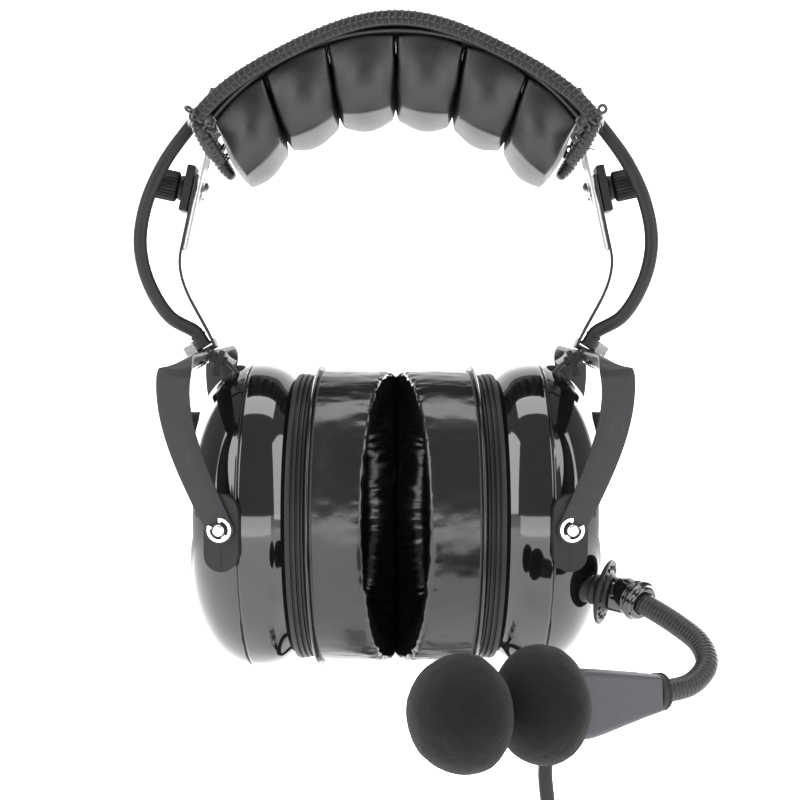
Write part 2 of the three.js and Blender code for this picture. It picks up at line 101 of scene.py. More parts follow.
def aimed(origin, axis, side=None):
    """A place at origin whose Z runs along axis, and whose X is as near to side as it can be."""
    z = Vector(axis).normalized()
    if side is None:
        side = (0, 1, 0) if abs(z.y) < 0.9 else (1, 0, 0)
    x = Vector(side)
    x = (x - z * x.dot(z)).normalized()
    return placed(origin, x, z.cross(x), z)


TOE_ANGLE = 7
CUP_Z = -143
TOE_PIVOT = joint_origin("cup_swivel_right")
TOE_AXIS = joint_axis("cup_swivel_right")
TOE = (
    Matrix.Translation(TOE_PIVOT)
    @ Matrix.Rotation(math.radians(TOE_ANGLE), 4, TOE_AXIS)
    @ Matrix.Translation(-TOE_PIVOT)
)
# X runs out along the cup's own axis from the middle of the head, Z up, centre at the cup's height
CUP = TOE @ Matrix.Translation((0, 0, CUP_Z))


# Sizes and colours that a user would change

def length(name, about, value):
    return FloatProperty(name=name, description=about, default=value, min=0.01, unit="NONE")


def colour(name, about, value):
    return FloatVectorProperty(
        name=name, description=about, default=value, subtype="COLOR", size=3, min=0, max=1)


class HeadsetSizes(bpy.types.PropertyGroup):
    cord_radius: length("Cord radius", "Half the lead's diameter, mm", 2.75)
    cable_radius: length("Arch cable radius", "Half the arch cable's diameter, mm", 2.5)
    neck_radius: length("Gooseneck radius", "Half the gooseneck's diameter, mm", 3.9)
    rib_pitch: length("Rib pitch", "Distance between the gooseneck's ribs, mm", 1.55)
    stitch_pitch: length("Stitch pitch", "Distance between whip stitches on the headband, mm", 2.3)
    puffs: IntProperty(name="Puffs", description="Cushions under the headband", default=6, min=2, max=10)
    seal_wrinkle: length("Seal wrinkle", "Height of the creases in the ear seals, mm", 0.9)
    foam_roughness: length("Foam roughness", "Height of the windscreens' cells, mm", 0.16)


class HeadsetColours(bpy.types.PropertyGroup):
    leather: colour("Leatherette", "Headband cover and cushions", (0.008, 0.0077, 0.0085))
    vinyl: colour("Vinyl", "Ear seals", (0.004, 0.004, 0.005))
    shell: colour("Shell", "Gloss cups", (0.003, 0.003, 0.0035))
    plastic: colour("Plastic", "Matt black mouldings", (0.007, 0.007, 0.008))
    charcoal: colour("Charcoal", "Microphone housing", (0.036, 0.037, 0.043))
    coated: colour("Coated metal", "Yokes and sliders", (0.016, 0.016, 0.018))
    steel: colour("Steel", "Spring, bolts and rings", (0.72, 0.71, 0.70))
    rubber: colour("Rubber", "Cables and boots", (0.010, 0.010, 0.011))
    foam: colour("Foam", "Windscreens", (0.0032, 0.003, 0.003))


def sizes():
    return bpy.context.scene.headset_sizes


def colours():
    return bpy.context.scene.headset_colours


# Shader maths

class Value:
    """A socket whose number changes over the surface. Operators add Math nodes."""

    def __init__(self, finish, socket):
        self.finish = finish
        self.socket = socket

    def _math(self, operation, first, second=0.0):
        return self.finish.value("ShaderNodeMath", {"operation": operation}, {0: first, 1: second})

    def __add__(self, other):
        return self._math("ADD", self, other)

    def __radd__(self, other):
        return self._math("ADD", other, self)

    def __sub__(self, other):
        return self._math("SUBTRACT", self, other)

    def __rsub__(self, other):
        return self._math("SUBTRACT", other, self)

    def __mul__(self, other):
        return self._math("MULTIPLY", self, other)

    def __rmul__(self, other):
        return self._math("MULTIPLY", other, self)


class Finish:
    """A material on the Principled shader. Constant values go straight to the shader's sockets."""

    def __init__(self, name, **constants):
        self.material = bpy.data.materials.new(name)
        self.material.use_nodes = True
        self.tree = self.material.node_tree
        self.shader = self.tree.nodes["Principled BSDF"]
        for key, value in constants.items():
            self.shader.inputs[key.replace("_", " ")].default_value = value

    def node(self, kind, settings=None, inputs=None):
        made = self.tree.nodes.new(kind)
        for key, value in (settings or {}).items():
            if key == "stops":
                self._stops(made.color_ramp, value)
            else:
                setattr(made, key, value)
        for key, value in (inputs or {}).items():
            self.feed(made.inputs[key], value)
        return made

    def value(self, kind, settings=None, inputs=None, output=0):
        return Value(self, self.node(kind, settings, inputs).outputs[output])

    def feed(self, socket, value):
        if isinstance(value, Value):
            self.tree.links.new(value.socket, socket)
        else:
            socket.default_value = value

    def set(self, **inputs):
        for key, value in inputs.items():
            self.feed(self.shader.inputs[key.replace("_", " ")], value)
        return self

    @staticmethod
    def _stops(ramp, stops):
        while len(ramp.elements) < len(stops):
            ramp.elements.new(0.5)
        for element, (position, shade) in zip(ramp.elements, stops):
            element.position = position
            element.color = (shade, shade, shade, 1)

    def ramp(self, value, *stops):
        return self.value("ShaderNodeValToRGB", {"stops": stops}, {"Fac": value})

    def place(self, stretch=(1, 1, 1)):
        """Object coordinates on the piece, in metres, stretched."""
        where = self.value("ShaderNodeTexCoord", output=3)
        return self.value("ShaderNodeMapping", None, {"Vector": where, "Scale": stretch})

    def cloud(self, size, detail=3.0, roughness=0.5, where=None):
        """Noise whose lumps are about size millimetres across."""
        where = where or self.place()
        return self.value("ShaderNodeTexNoise", None, {
            "Vector": where, "Scale": 1 / (size * MM), "Detail": detail, "Roughness": roughness})

    def cells(self, size, feature="F1"):
        """Cells about size millimetres across."""
        return self.value("ShaderNodeTexVoronoi", {"feature": feature}, {
            "Vector": self.place(), "Scale": 1 / (size * MM)})

    def mix(self, factor, first, second):
        """A colour between two others."""
        made = self.node("ShaderNodeMix", {"data_type": "RGBA"})
        self.feed(made.inputs[0], factor)
        self.feed(made.inputs[6], first if isinstance(first, Value) else (*first, 1))
        self.feed(made.inputs[7], second if isinstance(second, Value) else (*second, 1))
        return Value(self, made.outputs[2])

    def bump(self, height, depth, strength=1.0):
        """A normal from a height of 0 to 1, depth millimetres deep."""
        return self.value("ShaderNodeBump", None, {
            "Strength": strength, "Distance": depth * MM, "Height": height})


def shaded(colour_value, factor):
    return tuple(min(channel * factor, 1.0) for channel in colour_value)


# Finishes, each made once

def leather_finish():
    base = tuple(colours().leather)
    made = Finish("leatherette", Specular_IOR_Level=0.38, Coat_Roughness=0.35, IOR=1.5)
    grain = made.cells(0.85, "DISTANCE_TO_EDGE")
    fold = made.cloud(9, 4, 0.6)
    fine = made.cloud(0.35, 2)
    height = made.ramp(grain, (0.0, 0.0), (0.16, 1.0)) * 0.55 + fine * 0.25 + fold * 0.5
    tone = made.cloud(16, 3)
    worn = made.ramp(tone, (0.35, 0.0), (0.7, 1.0))
    made.set(
        Base_Color=made.mix(worn * 0.6, base, shaded(base, 1.7)),
        Roughness=0.30 + tone * 0.14 + fine * 0.08,
        Normal=made.bump(height, 0.09, 0.55))
    return made.material


def vinyl_finish():
    base = tuple(colours().vinyl)
    made = Finish("seal_vinyl", Specular_IOR_Level=0.45, Coat_Roughness=0.12, IOR=1.52)
    crinkle = made.cloud(7, 5, 0.62)
    fine = made.cloud(1.1, 3)
    tone = made.cloud(22, 2)
    pulled = made.cloud(11, 3, 0.5, made.place((0.35, 1, 1)))
    made.set(
        Base_Color=made.mix(tone * 0.7, base, shaded(base, 1.6)),
        Roughness=0.13 + crinkle * 0.12 + fine * 0.05,
        Normal=made.bump(crinkle * 0.5 + pulled * 0.6 + fine * 0.06, 0.5, 0.5))
    return made.material


def gloss_finish():
    base = tuple(colours().shell)
    made = Finish("gloss_shell", Coat_Weight=0.35, Coat_Roughness=0.03, Specular_IOR_Level=0.5, IOR=1.5)
    peel = made.cloud(3.4, 2)
    dust = made.ramp(made.cloud(1.6, 4, 0.7), (0.66, 0.0), (0.8, 1.0))
    made.set(
        Base_Color=made.mix(dust * 0.25, base, shaded(base, 3.5)),
        Roughness=0.045 + made.cloud(30, 3) * 0.03 + dust * 0.08,
        Normal=made.bump(peel, 0.02, 0.25))
    return made.material


def plastic_finish(name, base, rough=0.42, grain=0.28):
    made = Finish(name, Specular_IOR_Level=0.25, IOR=1.48)
    spark = made.cells(grain)
    tone = made.cloud(12, 3)
    edge = made.ramp(made.cloud(2.6, 4, 0.7), (0.6, 0.0), (0.85, 1.0))
    made.set(
        Base_Color=made.mix(edge * 0.5 + tone * 0.2, base, shaded(base, 1.8)),
        Roughness=rough + tone * 0.1 + edge * 0.06,
        Normal=made.bump(spark, 0.03, 0.4))
    return made.material


def coated_finish():
    base = tuple(colours().coated)
    made = Finish("coated_metal", Specular_IOR_Level=0.22, IOR=1.5)
    orange = made.cloud(0.5, 2)
    rub = made.ramp(made.cloud(7, 5, 0.72), (0.56, 0.0), (0.78, 1.0))
    made.set(
        Base_Color=made.mix(rub * 0.5, base, shaded(base, 2.2)),
        Roughness=0.34 + orange * 0.1 - rub * 0.06,
        Normal=made.bump(orange, 0.025, 0.5))
    return made.material


def steel_finish(name, base, rough, stretch, brush):
    made = Finish(name, Metallic=1.0, IOR=2.5)
    lines = made.cloud(0.9, 4, 0.7, made.place(stretch))
    stain = made.cloud(9, 4, 0.6)
    made.set(
        Base_Color=made.mix(stain * 0.4 + lines * 0.2, base, shaded(base, 0.62)),
        Roughness=rough + lines * 0.12 + stain * 0.06,
        Normal=made.bump(lines, 0.02, brush))
    return made.material


def rubber_finish(name="rubber", rough=0.5):
    base = tuple(colours().rubber)
    made = Finish(name, Specular_IOR_Level=0.22, IOR=1.5)
    skin = made.cloud(0.6, 3)
    bloom = made.ramp(made.cloud(10, 4, 0.65), (0.4, 0.0), (0.75, 1.0))
    made.set(
        Base_Color=made.mix(bloom * 0.5, base, shaded(base, 1.9)),
        Roughness=rough + bloom * 0.12 + skin * 0.06,
        Normal=made.bump(skin, 0.04, 0.35))
    return made.material


def thread_finish():
    base = shaded(tuple(colours().leather), 1.3)
    made = Finish("waxed_thread", Specular_IOR_Level=0.4, IOR=1.5)
    twist = made.cloud(0.22, 2, 0.5)
    made.set(
        Base_Color=made.mix(twist, base, shaded(base, 2.4)),
        Roughness=0.36 + twist * 0.15,
        Normal=made.bump(twist, 0.05, 0.6))
    return made.material


def foam_finish():
    base = tuple(colours().foam)
    made = Finish("open_cell_foam", Specular_IOR_Level=0.15, Sheen_Weight=0.05, Sheen_Roughness=0.6)
    # Painted shade: the base colour darkens towards each pore's centre and lightens on the cell walls, as if
    # shade fell in the pores. The same mask also raises the walls in the bump.
    pore_shade_distance = made.cells(0.42)
    wall = made.ramp(pore_shade_distance, (0.2, 0.0), (0.6, 1.0))
    dust = made.ramp(made.cloud(0.55, 3, 0.65), (0.64, 0.0), (0.76, 1.0))
    patch = made.cloud(7, 3)
    made.set(
        # Base colour: painted shade in the pores, and real dust in light patches.
        Base_Color=made.mix(dust * (0.1 + patch * 0.7), made.mix(wall, shaded(base, 0.35), shaded(base, 1.3)),
                            shaded(base, 8.0)),
        Roughness=0.9 + patch * 0.1,
        Normal=made.bump(wall + dust * 0.3, 0.22, 0.6))
    return made.material


def felt_finish():
    base = shaded(tuple(colours().foam), 1.1)
    made = Finish("ear_lining", Specular_IOR_Level=0.25, Sheen_Weight=0.3, Sheen_Roughness=0.5)
    fibre = made.cloud(0.5, 4, 0.8)
    made.set(
        Base_Color=made.mix(fibre, shaded(base, 0.5), shaded(base, 2.0)),
        Roughness=0.85 + fibre * 0.1,
        Normal=made.bump(fibre, 0.3, 0.8))
    return made.material


def floor_finish():
    made = Finish("studio_floor", Specular_IOR_Level=0.2, Emission_Color=(1, 1, 1, 1), Emission_Strength=1.15)
    patches = made.cloud(300, 2) * 0.3
    made.set(Base_Color=made.mix(patches, (0.86, 0.86, 0.86), (0.9, 0.9, 0.9)), Roughness=0.8)
    return made.material


FINISH_MAKERS = {
    "leather": leather_finish,
    "vinyl": vinyl_finish,
    "gloss": gloss_finish,
    "plastic": lambda: plastic_finish("matt_plastic", tuple(colours().plastic)),
    "charcoal": lambda: plastic_finish("charcoal_plastic", tuple(colours().charcoal), 0.34, 0.4),
    "coated": coated_finish,
    "neck": lambda: plastic_finish("gooseneck_coating", shaded(tuple(colours().coated), 0.9), 0.33, 0.5),
    "spring": lambda: steel_finish("spring_steel", tuple(colours().steel), 0.2, (1, 14, 0.3), 0.25),
    "steel": lambda: steel_finish("bright_steel", shaded(tuple(colours().steel), 1.1), 0.14, (1, 1, 1), 0.1),
    "rubber": rubber_finish,
    "jacket": lambda: rubber_finish("cord_jacket", 0.42),
    "thread": thread_finish,
    "foam": foam_finish,
    "felt": felt_finish,
    "floor": floor_finish,
}
FINISHES = {}


def finish(name):
    if name not in FINISHES:
        FINISHES[name] = FINISH_MAKERS[name]()
    return FINISHES[name]


# Shapes

def closed(bm, verts):
    """Edges that join the verts in a ring."""
    return [bm.edges.new(ends) for ends in zip(verts, verts[1:] + verts[:1])]


def new_verts(made):
    return [item for item in made["geom"] if isinstance(item, bmesh.types.BMVert)]


def bridged(bm, loops):
    """Joins each loop of edges to the next, and the last to the first."""
    for first, second in zip(loops, loops[1:] + loops[:1]):
        bmesh.ops.bridge_loops(bm, edges=first + second)
    bmesh.ops.recalc_face_normals(bm, faces=bm.faces)


def turned(profile, place, steps=48):
    """Spins (radius, height) pairs about the place's Z. The outline closes on the axis or on itself."""
    bm = bmesh.new()
    verts = [bm.verts.new((radius, 0, height)) for radius, height in profile]
    edges = [bm.edges.new(ends) for ends in zip(verts, verts[1:])]
    if profile[0][0] > 1e-6 and profile[0] != profile[-1]:
        edges.append(bm.edges.new((verts[-1], verts[0])))
    bmesh.ops.spin(
        bm, geom=verts + edges, cent=(0, 0, 0), axis=(0, 0, 1), angle=math.radians(360),
        steps=steps, use_merge=True)
    bmesh.ops.remove_doubles(bm, verts=bm.verts, dist=1e-4)
    bmesh.ops.transform(bm, matrix=place, verts=bm.verts)
    bmesh.ops.recalc_face_normals(bm, faces=bm.faces)
    return bm


def eased(profile, radius, steps=3):
    """An outline whose inner corners are rounded by radius."""
    made = [profile[0]]
    for before, corner, after in zip(profile, profile[1:], profile[2:]):
        here = Vector(corner)
        towards = [(Vector(other) - here) for other in (before, after)]
        reach = min(radius, *(0.45 * arm.length for arm in towards))
        start, end = (here + arm.normalized() * reach for arm in towards)
        for i in range(steps + 1):
            t = i / steps
            made.append(tuple((1 - t) ** 2 * start + 2 * t * (1 - t) * here + t * t * end))
    return made + [profile[-1]]


def smooth_path(points, per_span=8):
    """A centripetal Catmull-Rom curve through given points."""
    points = [Vector(point) for point in points]
    row = [points[0] * 2 - points[1], *points, points[-1] * 2 - points[-2]]
    made = []
    for p0, p1, p2, p3 in zip(row, row[1:], row[2:], row[3:]):
        knots = [0.0]
        for a, b in ((p0, p1), (p1, p2), (p2, p3)):
            knots.append(knots[-1] + math.sqrt((b - a).length))
        for i in range(per_span):
            t = knots[1] + (knots[2] - knots[1]) * i / per_span
            level = [p0, p1, p2, p3]
            for depth in (1, 2, 3):
                level = [
                    _blend_point(level[k], level[k + 1], _knot_share(knots, k, depth, t))
                    for k in range(len(level) - 1)]
            made.append(level[0])
    return made + [points[-1]]


def _knot_share(knots, k, depth, t):
    """Barry and Goldman's weight at one level of the pyramid."""
    low = {1: k, 2: k, 3: 1}[depth]
    high = {1: k + 1, 2: k + 2, 3: 2}[depth]
    return (t - knots[low]) / (knots[high] - knots[low])


def _blend_point(a, b, share):
    return a + (b - a) * share


def even_path(points, step):
    """The same route with points an even step apart."""
    reach = [0.0]
    for a, b in zip(points, points[1:]):
        reach.append(reach[-1] + (b - a).length)
    count = max(int(reach[-1] / step), 2)
    made = []
    k = 0
    for i in range(count + 1):
        goal = reach[-1] * i / count
        while k < len(points) - 2 and reach[k + 1] < goal:
            k += 1
        share = (goal - reach[k]) / max(reach[k + 1] - reach[k], 1e-9)
        made.append(points[k].lerp(points[k + 1], min(share, 1)))
    return made


def carried(points, side):
    """Places along a path: Z along it, X carried from side without twist."""
    places = []
    x = Vector(side)
    for i, point in enumerate(points):
        ahead = points[min(i + 1, len(points) - 1)] - points[max(i - 1, 0)]
        z = ahead.normalized()
        x = (x - z * x.dot(z)).normalized()
        places.append(placed(point, x, z.cross(x), z))
    return places


def swept(outline, places, scales=None):
    """Carries a closed outline of (x, y) pairs through places by extruding it, and caps both ends."""
    bm = bmesh.new()
    scales = scales or [(1, 1)] * len(places)
    fitted = [place @ Matrix.Diagonal((*scale, 1, 1)) for place, scale in zip(places, scales)]
    first = closed(bm, [bm.verts.new(fitted[0] @ Vector((*spot, 0))) for spot in outline])
    edges = first
    for before, after in zip(fitted, fitted[1:]):
        made = bmesh.ops.extrude_edge_only(bm, edges=edges)["geom"]
        verts = {item for item in made if isinstance(item, bmesh.types.BMVert)}
        edges = [item for item in made if isinstance(item, bmesh.types.BMEdge)
                 and item.verts[0] in verts and item.verts[1] in verts]
        bmesh.ops.transform(bm, matrix=after @ before.inverted(), verts=list(verts))
    bmesh.ops.edgeloop_fill(bm, edges=first)
    bmesh.ops.edgeloop_fill(bm, edges=edges)
    bmesh.ops.recalc_face_normals(bm, faces=bm.faces)
    return bm


def circle(radius, sides):
    return [(radius * math.cos(2 * math.pi * i / sides), radius * math.sin(2 * math.pi * i / sides))
            for i in range(sides)]


def bead_ring(radius, height, thick):
    """A closed (radius, height) outline that turns into a round ring."""
    ring = [(radius + thick * math.cos(math.radians(t)), height + thick * math.sin(math.radians(t)))
            for t in range(0, 361, 45)]
    ring[-1] = ring[0]
    return ring


def fluted(ridges, outer, inner):
    """The outline of a grip with ridges and grooves."""
    made = []
    for i in range(ridges * 4):
        radius = outer if i % 4 in (0, 1) else inner
        a = 2 * math.pi * i / (ridges * 4)
        made.append((radius * math.cos(a), radius * math.sin(a)))
    return made


def stacked(outline, place, levels):
    """A shape swept straight up a place through (height, width) pairs."""
    return swept(outline, [place @ Matrix.Translation((0, 0, height)) for height, _ in levels],
                 [(width, width) for _, width in levels])


def rounded_bar(half_x, half_y, radius, steps=3):
    """The outline of a flat bar with rounded corners."""
    made = []
    for turn, (cx, cy) in enumerate(((1, 1), (-1, 1), (-1, -1), (1, -1))):
        for i in range(steps + 1):
            angle = math.radians(90 * turn + 90 * i / steps)
            made.append((cx * (half_x - radius) + radius * math.cos(angle),
                         cy * (half_y - radius) + radius * math.sin(angle)))
    return made


def join(*shapes):
    """One bmesh of several closed shapes."""
    whole = shapes[0]
    for extra in shapes[1:]:
        mesh = bpy.data.meshes.new("join")
        extra.to_mesh(mesh)
        extra.free()
        whole.from_mesh(mesh)
        bpy.data.meshes.remove(mesh)
    return whole


def mirrored(bm):
    twin = bm.copy()
    bmesh.ops.scale(twin, vec=(-1, 1, 1), verts=twin.verts)
    bmesh.ops.reverse_faces(twin, faces=twin.faces)
    return twin


def blended_pair(name, bm, replaces):
    """A cable on each side, the left one mirrored, fixed to no body."""
    twins = {"right": bm, "left": mirrored(bm)}
    for side in SIDES:
        cable = piece(f"{name}_{side}", twins[side], "jacket", None,
                      tuple(f"{node}_{side}" for node in replaces), "rubber", angle=60)
        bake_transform(cable)


def piece(name, bm, look, body, replaces=(), slot=None, angle=35, levels=0, bevel=0.0):
    """Turns a shape in millimetres into a finished object in metres that rides on a body."""
    bmesh.ops.scale(bm, vec=(MM, MM, MM), verts=bm.verts)
    mesh = bpy.data.meshes.new(name)
    bm.to_mesh(mesh)
    bm.free()
    made = bpy.data.objects.new(name, mesh)
    bpy.context.scene.collection.objects.link(made)
    mesh.materials.append(finish(look))
    mesh.shade_smooth()
    mesh.set_sharp_from_angle(angle=math.radians(angle))
    if bevel:
        edge = made.modifiers.new("bevel", "BEVEL")
        edge.width = bevel * MM
        edge.segments = 3
        edge.limit_method = "ANGLE"
        edge.angle_limit = math.radians(30)
        edge.use_clamp_overlap = True
        edge.harden_normals = True
    if levels:
        smooth = made.modifiers.new("smooth", "SUBSURF")
        smooth.levels = levels
        smooth.render_levels = levels
    if body:
        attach(made, body)
    if replaces:
        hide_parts(*replaces)
    return made


def repeated(bm, source, places):
    """Adds a copy of a small shape at each place, in one go."""
    mesh = bpy.data.meshes.new("repeated")
    source.to_mesh(mesh)
    for place in places:
        mesh.transform(place)
        bm.from_mesh(mesh)
        mesh.transform(place.inverted())
    bpy.data.meshes.remove(mesh)


def pair(name, bm, look, body, replaces=(), slot=None, **more):
    """A right-hand piece and its mirror image on the left."""
    twins = {"right": bm, "left": mirrored(bm)}
    return [
        piece(f"{name}_{side}", twins[side], look, f"{body}_{side}",
              tuple(f"{node}_{side}" for node in replaces), slot, **more)
        for side in SIDES]


def cad_shape(node):
    """A merged copy of a CAD node's own shape, in millimetres."""
    bm = bmesh.new()
    bm.from_mesh(frame["nodes"][node].data)
    bmesh.ops.remove_doubles(bm, verts=bm.verts, dist=0.02 * MM)
    bmesh.ops.dissolve_limit(bm, angle_limit=math.radians(0.5), verts=bm.verts, edges=bm.edges)
    bmesh.ops.scale(bm, vec=(1 / MM, 1 / MM, 1 / MM), verts=bm.verts)
    return bm


class HeadsetOperator:
    """What every operator here shares."""

    bl_options = {"REGISTER", "UNDO"}


# Stage and cord

class HEADSET_OT_stage(HeadsetOperator, bpy.types.Operator):
    """Adds the floor, the backdrop, the lights and the camera"""

    bl_idname = "headset.stage"
    bl_label = "Stage"

    FLOOR_Z = -285.0
    FLOOR_HALF = 2600
    SENSOR = 36
    CAMERA_AT = (1.5, -900.0, -101.0)
    FIELD_WIDTH = 291.0

    def execute(self, context):
        context.scene.view_settings.view_transform = "Standard"
        self.camera(context)
        self.floor()
        self.world(context)
        # Two tall soft boxes at the sides, one overhead, one low in front and two behind
        self.light("key_left", (-620, -520, 160), (0, 0, -110), (420, 700), 5.5)
        self.light("key_right", (640, -480, 120), (0, 0, -110), (420, 700), 5.0)
        self.light("overhead", (0, -80, 640), (0, 0, -60), (700, 500), 6)
        self.light("low_front", (0, -560, -262), (0, 0, -170), (620, 180), 1.2)
        self.light("rear_left", (-520, 520, 60), (0, 0, -90), (380, 620), 5)
        self.light("rear_right", (520, 520, 60), (0, 0, -90), (380, 620), 5)
        return {"FINISHED"}

    def camera(self, context):
        lens = bpy.data.cameras.new("camera")
        lens.sensor_width = self.SENSOR
        lens.lens = self.SENSOR * abs(self.CAMERA_AT[1]) / self.FIELD_WIDTH
        lens.clip_start = 0.01
        camera = bpy.data.objects.new("camera", lens)
        camera.location = Vector(self.CAMERA_AT) * MM
        camera.rotation_euler = (math.radians(90), 0, 0)
        context.scene.collection.objects.link(camera)
        context.scene.camera = camera

    def floor(self):
        """A pale floor that curves up into a backdrop."""
        bm = bmesh.new()
        profile = [(-self.FLOOR_HALF, 0), (900, 0), (1150, 40), (1320, 160), (1400, 360), (1400, 2400)]
        verts = [bm.verts.new((-self.FLOOR_HALF, y, self.FLOOR_Z + z)) for y, z in profile]
        edges = [bm.edges.new(ends) for ends in zip(verts, verts[1:])]
        moved = new_verts(bmesh.ops.extrude_edge_only(bm, edges=edges))
        bmesh.ops.translate(bm, vec=(2 * self.FLOOR_HALF, 0, 0), verts=moved)
        bmesh.ops.scale(bm, vec=(MM, MM, MM), verts=bm.verts)
        bmesh.ops.recalc_face_normals(bm, faces=bm.faces)
        mesh = bpy.data.meshes.new("studio_floor")
        bm.to_mesh(mesh)
        bm.free()
        mesh.materials.append(finish("floor"))
        mesh.shade_smooth()
        floor = bpy.data.objects.new("studio_floor", mesh)
        bpy.context.scene.collection.objects.link(floor)

    def world(self, context):
        sky = bpy.data.worlds.new("studio")
        sky.use_nodes = True
        background = sky.node_tree.nodes["Background"]
        background.inputs["Color"].default_value = (1, 1, 1, 1)
        background.inputs["Strength"].default_value = 0.45
        context.scene.world = sky

    def light(self, name, place, target, size, power):
        lamp = bpy.data.lights.new(name, "AREA")
        lamp.shape = "RECTANGLE"
        lamp.size, lamp.size_y = size[0] * MM, size[1] * MM
        lamp.energy = power
        made = bpy.data.objects.new(name, lamp)
        made.location = Vector(place) * MM
        aim = (Vector(target) - Vector(place)).to_track_quat("-Z", "Y")
        made.rotation_euler = aim.to_euler()
        bpy.context.scene.collection.objects.link(made)


CORD_EXIT = TOE @ Vector((57.5, 0, -198))
GLAND_END = 16.0
COIL_CENTRE = Vector((20.25, 48, -285))
COIL_OUTER = 35.75
COIL_INNER = 30.25
COIL_TURNS = (
    ("outer", 0), ("inner", 0), ("inner", 1), ("outer", 1), ("inner", 2), ("outer", 2), ("outer", 2))
COIL_END = -15.5
COIL_SHIFT_FROM, COIL_SHIFT_TO = 306.0, 354.0


